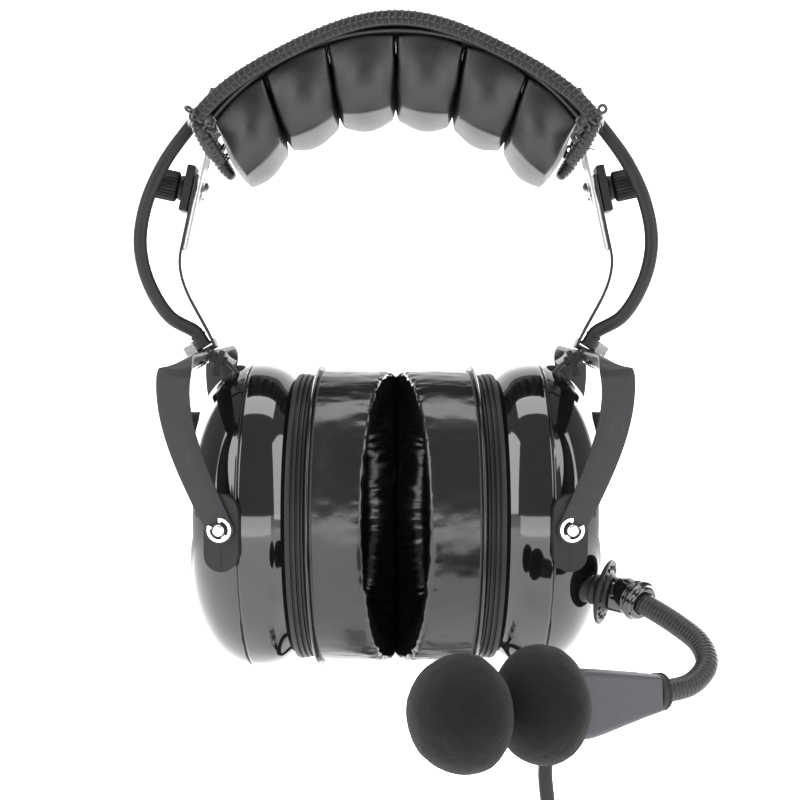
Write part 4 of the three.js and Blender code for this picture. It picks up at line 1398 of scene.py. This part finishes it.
class HEADSET_OT_sliders(HeadsetOperator, bpy.types.Operator):
    """Adds the slider straps, clamp blocks, thumb knobs, bolts, sleeves and arch cables"""

    bl_idname = "headset.sliders"
    bl_label = "Sliders"

    def execute(self, context):
        straps = pair("slider_bar", self.strap(), "coated", "slider", ("slider_strap",), "black_metal",
                      angle=40)
        for strap, side in zip(straps, SIDES):
            self.bright_inside(strap, 1 if side == "right" else -1)
        pair("clamp_pad", cad_shape("clamp_block_right"), "plastic", "slider", ("clamp_block",),
             "matte_plastic", bevel=0.8)
        pair("fluted_knob", self.knob(), "plastic", "thumb", ("thumb_knob",), "matte_plastic", angle=32)
        pair("knob_stud", self.stud(), "steel", "thumb", (), "bright_steel")
        bolt, washer = self.bolt()
        pair("hex_bolt", bolt, "steel", "slider", ("swivel_bolt",), "bright_steel", angle=25)
        pair("washer", washer, "steel", "slider", (), "bright_steel")
        pair("tapered_sleeve", self.sleeve(), "rubber", "slider", ("cable_sleeve",), "rubber")
        self.arch_cables()
        return {"FINISHED"}

    def strap(self):
        """A flat strap that bows inwards and turns into a foot with a curled end."""
        straight = [GUIDE_TOP + GUIDE * d + KNOB_AXIS * SLIDER_OFFSET for d in (5, 14, 24, 33)]
        bow = bezier((straight[3], straight[3] + GUIDE * 12, FOOT_BEND + Vector((5.5, 0, 12)),
                      FOOT_BEND + Vector((0.2, 0, 0.5))), 20)
        foot = FOOT_BEND + FOOT_ALONG * 14.5
        turn = [FOOT_BEND + Vector((-0.1, 0, -0.6)), FOOT_BEND + FOOT_ALONG * 0.8 + Vector((0, 0, -0.15))]
        curl = [foot + FOOT_ALONG * 0.6 + Vector((0, 0, -0.5)), foot + Vector((0.4, 0, -1.6)),
                foot + Vector((0.3, 0, -3.2))]
        path = straight[:3] + bow[:-1] + turn + [FOOT_BEND + FOOT_ALONG * 4, foot - FOOT_ALONG] + curl
        places = carried(path, (0, 1, 0))
        return swept(rounded_bar(STRAP_HALF, SHEET_T / 2, 0.45, 3), places)

    def bright_inside(self, strap, side):
        """The face towards the head is bare steel, and the rest is coated."""
        strap.data.materials.append(finish("spring"))
        inwards = Vector((-KNOB_AXIS.x * side, 0, -KNOB_AXIS.z))
        foot_z = (FOOT_BEND.z + 3) * MM
        for face in strap.data.polygons:
            if face.normal.dot(inwards) > 0.75 and face.center.z > foot_z:
                face.material_index = 1

    def knob_place(self):
        """The knob's axis, where it crosses the line of the strap."""
        crossing = GUIDE_TOP + GUIDE * 10.5
        return aimed(KNOB_ROOT - KNOB_AXIS * (KNOB_ROOT - crossing).dot(KNOB_AXIS), KNOB_AXIS)

    def knob(self):
        """A collar, a neck and a fluted grip."""
        base = SLIDER_OFFSET + 0.6 + 0.35 + 3.2 + 0.35
        place = self.knob_place()
        outline = [(0, base), (4.6, base), (4.6, base + 1.2), (4.0, base + 1.6), (0, base + 1.6)]
        collar = turned(eased(outline, 0.3), place, 48)
        levels = (
            (1.6, 0.72), (2.0, 0.9), (2.3, 0.97), (2.6, 1.0), (9.2, 1.0), (9.8, 0.96), (10.2, 0.88),
            (10.4, 0.78))
        grip = stacked(fluted(28, 5.62, 5.2), place, [(base + height, width) for height, width in levels])
        outline = [(0, base + 10.3), (3.4, base + 10.3), (3.6, base + 10.7), (0, base + 10.7)]
        dish = turned(eased(outline, 0.15), place, 32)
        return join(collar, grip, dish)

    def stud(self):
        """A domed rivet head on the inner side of the strap."""
        outline = [(0, -3.3), (2.4, -3.1), (3.7, -2.2), (3.8, -1.2), (1.9, -1.1), (1.9, 4), (0, 4)]
        return turned(eased(outline, 0.2), self.knob_place(), 32)

    def bolt(self):
        """A hexagon head above the foot, a round collar under the yoke, and a washer."""
        place = aimed(BOLT_POINT, FOOT_UP, FOOT_ALONG)
        head = stacked(circle(4.1, 6), place, ((1.15, 0.96), (1.35, 1), (4.6, 1), (5.1, 0.93), (5.2, 0.85)))
        dome = turned(eased([(0, 5.1), (2.6, 5.1), (2.2, 5.5), (0, 5.6)], 0.2), place, 32)
        outline = [(0, -4.2), (3.3, -4.2), (3.6, -3.9), (3.6, -3.15), (2.1, -3.15), (2.1, 1.2), (0, 1.2)]
        collar = turned(eased(outline, 0.2), place, 32)
        outline = [(2.3, 0.78), (4.5, 0.78), (4.5, 1.12), (2.3, 1.12), (2.3, 0.78)]
        return join(head, dome, collar), turned(eased(outline, 0.1), place, 40)

    def sleeve(self):
        """A waisted sleeve on the foot that holds the arch cable's end."""
        place = aimed(SLEEVE_FOOT, FOOT_UP)
        outline = [(0, 0), (3.1, 0), (3.1, 0.8), (2.75, 1.1), (2.62, 4.2), (2.85, 4.5), (2.85, 5.2), (0, 5.2)]
        return turned(eased(outline, 0.15), place, 32)

    def arch_cables(self):
        """Each cable runs from the cover above into its sleeve below."""
        route = [
            *CABLE_ROUTE, SLEEVE_FOOT + FOOT_UP * (SLEEVE_H + 1.2), SLEEVE_FOOT + FOOT_UP * (SLEEVE_H - 0.6)]
        path = even_path(smooth_path(route, 10), 1.6)
        bm = swept(circle(sizes().cable_radius, 20), carried(path, (0, 1, 0)))
        blended_pair("arch_lead", bm, ("arch_cable",))


# Yokes

class HEADSET_OT_yokes(HeadsetOperator, bpy.types.Operator):
    """Adds the yokes, their tabs, cable clips and the short leads into the cups"""

    bl_idname = "headset.yokes"
    bl_label = "Yokes"

    LEG_MIDDLE = 46.95
    HALF_WIDTH = 6.1
    CLIP_CORNER = Vector((0, -10.9, 0.4))

    def execute(self, context):
        pair("yoke_strap", self.strap(), "coated", "yoke", ("yoke",), "black_metal", angle=40)
        pair("yoke_tab", self.tab(), "coated", "yoke", (), "black_metal", angle=40)
        pair("clip_sleeves", self.clips(), "rubber", "yoke", ("cable_clip",), "rubber")
        blended_pair("cup_lead", self.lead(), ())
        return {"FINISHED"}

    @staticmethod
    def toed(bm):
        bmesh.ops.transform(bm, matrix=TOE, verts=bm.verts)
        return bm

    def bridge(self, distance, lift=0.0):
        """A point on the yoke's bridge, at a distance from the bolt along the slider's foot."""
        return BOLT_POINT + FOOT_ALONG * distance + FOOT_UP * (-1.85 + lift)

    def strap(self):
        """One flat strap: up the front leg, over the bridge and down the rear leg."""
        line = bezier(((71.2, 0, -86.6), (74.6, 0, -104), (66, 0, -122), (PIN_X, 0, CUP_Z)), 40)
        leg = [(point, self.HALF_WIDTH + (4.7 - self.HALF_WIDTH) * i / 40) for i, point in enumerate(line)]
        tip = (line[-1] - line[-2]).normalized()
        eye = 4.9
        for i in range(1, 9):
            reach = eye * math.sin(math.radians(i * 90 / 8))
            leg.append((line[-1] + tip * reach, max(math.sqrt(max(eye * eye - reach * reach, 0)), 0.35)))
        middle_line = self.bridge(-1.6)
        stations = []
        for side in (-1, 1):
            row = []
            for i, (point, half) in enumerate(leg):
                if i < 3:
                    continue
                ahead = leg[min(i + 1, len(leg) - 1)][0] - leg[i - 1][0]
                across = Vector((0, 1, 0)).cross(ahead.normalized())
                row.append((Vector((point.x, side * self.LEG_MIDDLE, point.z)), -across, half))
            corner = Vector((middle_line.x, side * self.LEG_MIDDLE, middle_line.z))
            first = row[0]
            last = (Vector((middle_line.x, side * (self.LEG_MIDDLE - 5.5), middle_line.z)), FOOT_ALONG, 5.9)
            bend = []
            for k in range(1, 8):
                t = k / 8
                spot = first[0] * (1 - t) ** 2 + corner * 2 * t * (1 - t) + last[0] * t * t
                across = first[1].lerp(last[1], t).normalized()
                bend.append((spot, across, first[2] + (last[2] - first[2]) * t))
            stations.append(list(reversed(row)) + bend + [last])
        whole = stations[0] + list(reversed(stations[1]))
        places, scales = [], []
        for i, (spot, across, half) in enumerate(whole):
            z = (whole[min(i + 1, len(whole) - 1)][0] - whole[max(i - 1, 0)][0]).normalized()
            x = (across - z * across.dot(z)).normalized()
            places.append(placed(spot, x, z.cross(x), z))
            scales.append((half / self.HALF_WIDTH, 1))
        return self.toed(swept(rounded_bar(self.HALF_WIDTH, 0.75, 0.45, 3), places, scales))

    def tab_path(self):
        end = self.bridge(-7) + Vector((-6.6, 0, -4.2))
        return [
            self.bridge(-4.6), self.bridge(-6.6), self.bridge(-8.6, -0.6),
            self.bridge(-7).lerp(end, 0.6), end]

    def tab(self):
        """A lip that leaves the bridge and bends down towards the cup."""
        path = smooth_path(self.tab_path(), 4)
        return self.toed(swept(rounded_bar(9, 0.7, 0.5, 3), carried(path, (0, 1, 0))))

    def clip_line(self):
        """Where the first sleeve starts, and which way it points."""
        path = self.tab_path()
        return self.bridge(-5.5, 0) + self.CLIP_CORNER, (path[-1] - path[0]).normalized()

    def clips(self):
        """Two ringed sleeves under a strap on the tab, which hold the short lead."""
        start, down = self.clip_line()
        outline = [
            (0, 0), (1.7, 0), (2.35, 0.4), (2.35, 1.6), (1.8, 1.9), (1.8, 2.4), (2.2, 2.7), (2.2, 3.4),
            (1.75, 3.7), (1.75, 5.4), (1.35, 5.8), (0, 5.8)]
        sleeves = [turned(eased(outline, 0.15, 2), aimed(start + Vector(shift), down), 28)
                   for shift in ((0, 0, 0), (-2.6, 0.6, -1.0))]
        band = swept(rounded_bar(1.1, 4.8, 0.6, 2), [
            aimed(start + down * 5 + Vector((-0.6, y, -1.6)), (0, 1, 0), down) for y in (-2.0, -1.0, 0.4)])
        return self.toed(join(*sleeves, band))

    def lead(self):
        """A thin wire from the clip down to a grommet on the cup's top."""
        start, down = self.clip_line()
        start = start + down * 5.0
        path = smooth_path([
            start, start + down * 3, (53.6, -9.2, -93.0), (54.4, -6.4, -92.2), (55.8, -4.6, -90.4)], 6)
        wire = swept(circle(0.8, 12), carried(path, (0, 1, 0)))
        grommet = turned(eased([(0, -0.6), (2.6, -0.6), (2.6, 0.5), (1.6, 1.3), (0, 1.3)], 0.2),
                         aimed(Vector((55.9, -4.4, -89.4)), (0, 0, 1)), 28)
        return self.toed(join(wire, grommet))


# Boom and microphone

BOOM_AXIS = joint_axis("boom_swing")
BOOM_DISC_AT = joint_origin("boom_swing")
BOOM_BASE = BOOM_DISC_AT - BOOM_AXIS * 8
NECK_ROUTE = (
    (86.5, -39, -172), (96.5, -50, -178), (103.5, -60.5, -184), (104.6, -68, -190), (98.6, -75.5, -195.6),
    (89.5, -81.5, -197.3))
MIC_START = Vector(NECK_ROUTE[-1])
MIC_AXIS = Vector((-0.87, -0.49, -0.035)).normalized()
MIC_ACROSS = MIC_AXIS.cross(Vector((0, 0, 1))).normalized()
MIC_UP = MIC_ACROSS.cross(MIC_AXIS)
REAR_LOBE_AT = 49.0
FRONT_LOBE_AT = 77.8


def mic_place(distance, lift=0.0):
    """A place on the microphone's axis: X up, Z towards the mouth."""
    return aimed(MIC_START + MIC_AXIS * distance + MIC_UP * lift, MIC_AXIS, MIC_UP)


class HEADSET_OT_boom(HeadsetOperator, bpy.types.Operator):
    """Adds the pivot disc, stem, elbow and ribbed gooseneck"""

    bl_idname = "headset.boom"
    bl_label = "Boom"

    def execute(self, context):
        piece("pivot_disc", self.disc(), "plastic", "boom", ("boom_disc",), "matte_plastic")
        piece("pivot_stem", self.stem(), "plastic", "cup_right", ("boom_stem",), "matte_plastic")
        piece("boom_socket", self.elbow(), "gloss", "boom", ("boom_elbow",), "matte_plastic")
        neck = piece("ribbed_neck", self.neck(), "neck", None, ("gooseneck_lower", "gooseneck_upper"),
                     "gooseneck_metal", angle=180)
        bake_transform(neck)
        return {"FINISHED"}

    def disc(self):
        """A thin dished disc with a rim and a serrated inner ring."""
        outline = [
            (0, 0.1), (6.8, 0.1), (8.5, 0.3), (10.4, 0.9), (11.5, 1.5), (11.7, 2.1), (11.5, 2.7), (10.9, 2.7),
            (9.6, 2.5), (7.6, 3.1), (7.0, 4.1), (0, 4.1)]
        disc = turned(eased(outline, 0.3), aimed(BOOM_DISC_AT, BOOM_AXIS), 72)
        teeth = []
        for i in range(18):
            turn = Matrix.Rotation(2 * math.pi * i / 18, 4, "Z")
            spot = aimed(BOOM_DISC_AT, BOOM_AXIS) @ turn @ Matrix.Translation((8.9, 0, 2.75))
            teeth.append(spot @ Matrix.Diagonal((1.5, 0.42, 0.8, 1)))
        cube = bmesh.new()
        bmesh.ops.create_cube(cube, size=1)
        repeated(disc, cube, teeth)
        cube.free()
        return disc

    def stem(self):
        """A short cone on the cup that carries the disc."""
        outline = [
            (0, -2.5), (7.4, -2.5), (7.0, -1.2), (6.2, 0), (5.0, 4.6), (4.7, 5), (5.4, 5.4), (5.4, 7.5),
            (0, 7.5)]
        return turned(eased(outline, 0.5), aimed(BOOM_BASE, BOOM_AXIS), 48)

    def elbow(self):
        """A hub on the disc, and a socket with two collars that holds the gooseneck."""
        start = BOOM_BASE + BOOM_AXIS * 12.5
        hub = turned(eased([(0, 0), (6.2, 0), (6.3, 1), (6.3, 5.6), (5.4, 7.4), (3, 8.4), (0, 8.6)], 0.8, 4),
                     aimed(start, BOOM_AXIS), 48)
        along = (Vector(NECK_ROUTE[1]) - Vector(NECK_ROUTE[0])).normalized()
        mouth = Vector(NECK_ROUTE[0]) - along * 9.5
        outline = [
            (0, -3.4), (4.6, -2.8), (5.6, 0), (5.7, 3.1), (6.4, 3.5), (6.4, 4.3), (5.8, 4.7), (5.9, 5.6),
            (7.2, 6), (7.3, 7.1), (6.5, 7.5), (6.2, 7.9), (6.2, 9), (5.6, 9.5), (4.1, 9.5), (4.1, 8.6),
            (0, 8.6)]
        socket = turned(eased(outline, 0.25), aimed(mouth, along), 56)
        return join(hub, socket)

    def neck(self):
        """A tube wound from round wire: each turn stands out as a rib."""
        pitch = sizes().rib_pitch
        step = pitch / 6
        along = (Vector(NECK_ROUTE[1]) - Vector(NECK_ROUTE[0])).normalized()
        route = [Vector(NECK_ROUTE[0]) - along * 2.5, *NECK_ROUTE, MIC_START + MIC_AXIS * 1.5]
        path = even_path(smooth_path(route, 16), step)
        places = carried(path, (0, 0, 1))
        scales = [(0.925 + 0.075 * abs(math.sin(math.pi * i / 6)) ** 0.6,) * 2 for i in range(len(places))]
        return swept(circle(sizes().neck_radius, 32), places, scales)


class HEADSET_OT_microphone(HeadsetOperator, bpy.types.Operator):
    """Adds the microphone's collar, housing, capsule and windscreens"""

    bl_idname = "headset.microphone"
    bl_label = "Microphone"

    def execute(self, context):
        piece("ribbed_collar", self.collar(), "rubber", "mic", ("mic_collar",), "rubber")
        piece("tapered_housing", self.housing(), "charcoal", "mic", ("mic_housing",), "grey_plastic",
              angle=40)
        piece("housing_screw", self.screw(), "steel", "mic", (), "bright_steel")
        piece("capsule_can", self.capsule(), "steel", "mic", ("mic_capsule",), "bright_steel")
        rear = piece("foam_rear", self.lobe(REAR_LOBE_AT, (14.2, 14.2), 19.6, 3), "foam", "mic",
                     ("windscreen_rear",), "foam", angle=180)
        front = piece("foam_front", self.lobe(FRONT_LOBE_AT, (14.0, 18.0), 19.3, 8), "foam", "mic",
                      ("windscreen_front",), "foam", angle=180)
        return {"FINISHED"}

    def collar(self):
        """Soft rings between the gooseneck and the housing."""
        outline = [
            (0, 0.3), (4.6, 0.3), (5.2, 0.9), (6.3, 1.4), (6.4, 2.2), (5.9, 2.5), (5.9, 2.9), (6.4, 3.2),
            (6.4, 4.6), (5.8, 5.2), (0, 5.2)]
        return turned(eased(outline, 0.25), mic_place(0), 48)

    def housing(self):
        """A flat body that widens towards the capsule, with softened edges and a chamfered lower side."""
        stations = (
            (5.3, 6.0, 0.0, 0.94), (5.6, 6.3, 0.0, 1.0), (12, 7.5, -0.15, 1.0), (20, 9.05, -0.5, 1.0),
            (28, 10.6, -0.85, 1.0), (32, 11.2, -1.0, 1.0), (36.2, 11.3, -1.0, 1.0), (37.2, 11.0, -1.0, 0.96))
        places = [mic_place(at, lift) for at, half, lift, thick in stations]
        scales = [(half / 10, thick) for at, half, lift, thick in stations]
        outline = rounded_bar(10, 6.0, 3.2, 6)
        return swept(outline, places, scales)

    def screw(self):
        """A small slotted screw on the upper edge of the housing."""
        at = MIC_START + MIC_AXIS * 11 + MIC_UP * 7.0
        outline = [(0, -0.6), (1.2, -0.6), (1.2, 0.3), (0.8, 0.6), (0, 0.65)]
        return turned(eased(outline, 0.15), aimed(at, MIC_UP), 24)

    def capsule(self):
        """A metal can at the mouth end of the housing."""
        return turned(eased([(0, 38.4), (4.9, 38.4), (4.9, 44.6), (4.3, 45), (0, 45)], 0.3), mic_place(0), 40)

    def lobe(self, at, reach, radius, seed):
        """A foam ball with a soft, slightly lumpy outline and a skin of open cells."""
        bm = bmesh.new()
        bmesh.ops.create_icosphere(bm, subdivisions=7, radius=1)
        place = mic_place(at)
        for vert in bm.verts:
            d = vert.co.normalized()
            lump = noise.noise(d * 1.7 + Vector((seed, 0, 0))) * 0.022
            dent = noise.noise(d * 5.0 + Vector((0, seed, 0))) * 0.008
            cell = noise.noise(d * 34 + Vector((0, 0, seed))) * 0.5 + noise.noise(d * 70) * 0.5
            skin = 1 + lump + dent + cell * sizes().foam_roughness / radius
            along = reach[0] if d.z < 0 else reach[1]
            vert.co = Vector((d.x * radius, d.y * radius, d.z * along)) * skin
        bmesh.ops.transform(bm, matrix=place, verts=bm.verts)
        return bm


class HEADSET_OT_volume(HeadsetOperator, bpy.types.Operator):
    """Adds the ribbed volume knobs"""

    bl_idname = "headset.volume"
    bl_label = "Volume knobs"

    def execute(self, context):
        axis = joint_axis("volume_turn_right")
        root = joint_origin("volume_turn_right")
        place = aimed(root, axis)
        start = (middle("volume_knob_right") - root).dot(axis) - 8.5
        outline = [(0, start), (3.4, start), (3.4, start + 8.6), (0, start + 8.6)]
        shaft = turned(eased(outline, 0.2), place, 32)
        levels = ((8.5, 0.96), (8.8, 1.0), (15.9, 0.99), (16.5, 0.94), (16.9, 0.86))
        grip = stacked(fluted(30, 7.0, 6.5), place, [(start + height, width) for height, width in levels])
        outline = [(0, start + 16.8), (4.9, start + 16.8), (4.6, start + 17), (0, start + 17)]
        cap = turned(eased(outline, 0.1), place, 40)
        mark = swept(rounded_bar(0.45, 1.6, 0.4, 2),
                     [place @ Matrix.Translation((0, 2.8, start + h)) for h in (16.7, 17.15)])
        pair("ribbed_volume_knob", join(shaft, grip, cap), "plastic", "volume", ("volume_knob",),
             "matte_plastic", angle=32)
        pair("volume_mark", mark, "steel", "volume", (), "matte_plastic")
        return {"FINISHED"}


STEPS = (
    HEADSET_OT_stage,
    HEADSET_OT_cord,
    HEADSET_OT_cups,
    HEADSET_OT_seals,
    HEADSET_OT_headband,
    HEADSET_OT_sliders,
    HEADSET_OT_yokes,
    HEADSET_OT_boom,
    HEADSET_OT_microphone,
    HEADSET_OT_volume,
)


class HEADSET_PT_panel(bpy.types.Panel):
    """Lists the pieces and their sizes"""

    bl_idname = "HEADSET_PT_panel"
    bl_label = "Headset"
    bl_space_type = "VIEW_3D"
    bl_region_type = "UI"
    bl_category = "Headset"

    def draw(self, context):
        for step in STEPS:
            self.layout.operator(step.bl_idname)
        for group in (context.scene.headset_sizes, context.scene.headset_colours):
            box = self.layout.box()
            for name in group.__annotations__:
                box.prop(group, name)


CLASSES = (HeadsetSizes, HeadsetColours, *STEPS, HEADSET_PT_panel)


def register():
    for item in CLASSES:
        bpy.utils.register_class(item)
    bpy.types.Scene.headset_sizes = PointerProperty(type=HeadsetSizes)
    bpy.types.Scene.headset_colours = PointerProperty(type=HeadsetColours)


def unregister():
    del bpy.types.Scene.headset_colours
    del bpy.types.Scene.headset_sizes
    for item in reversed(CLASSES):
        bpy.utils.unregister_class(item)


def main():
    register()
    for step in STEPS:
        group, name = step.bl_idname.split(".")
        getattr(getattr(bpy.ops, group), name)()
    bpy.context.view_layer.update()


if __name__ == "__main__":
    main()
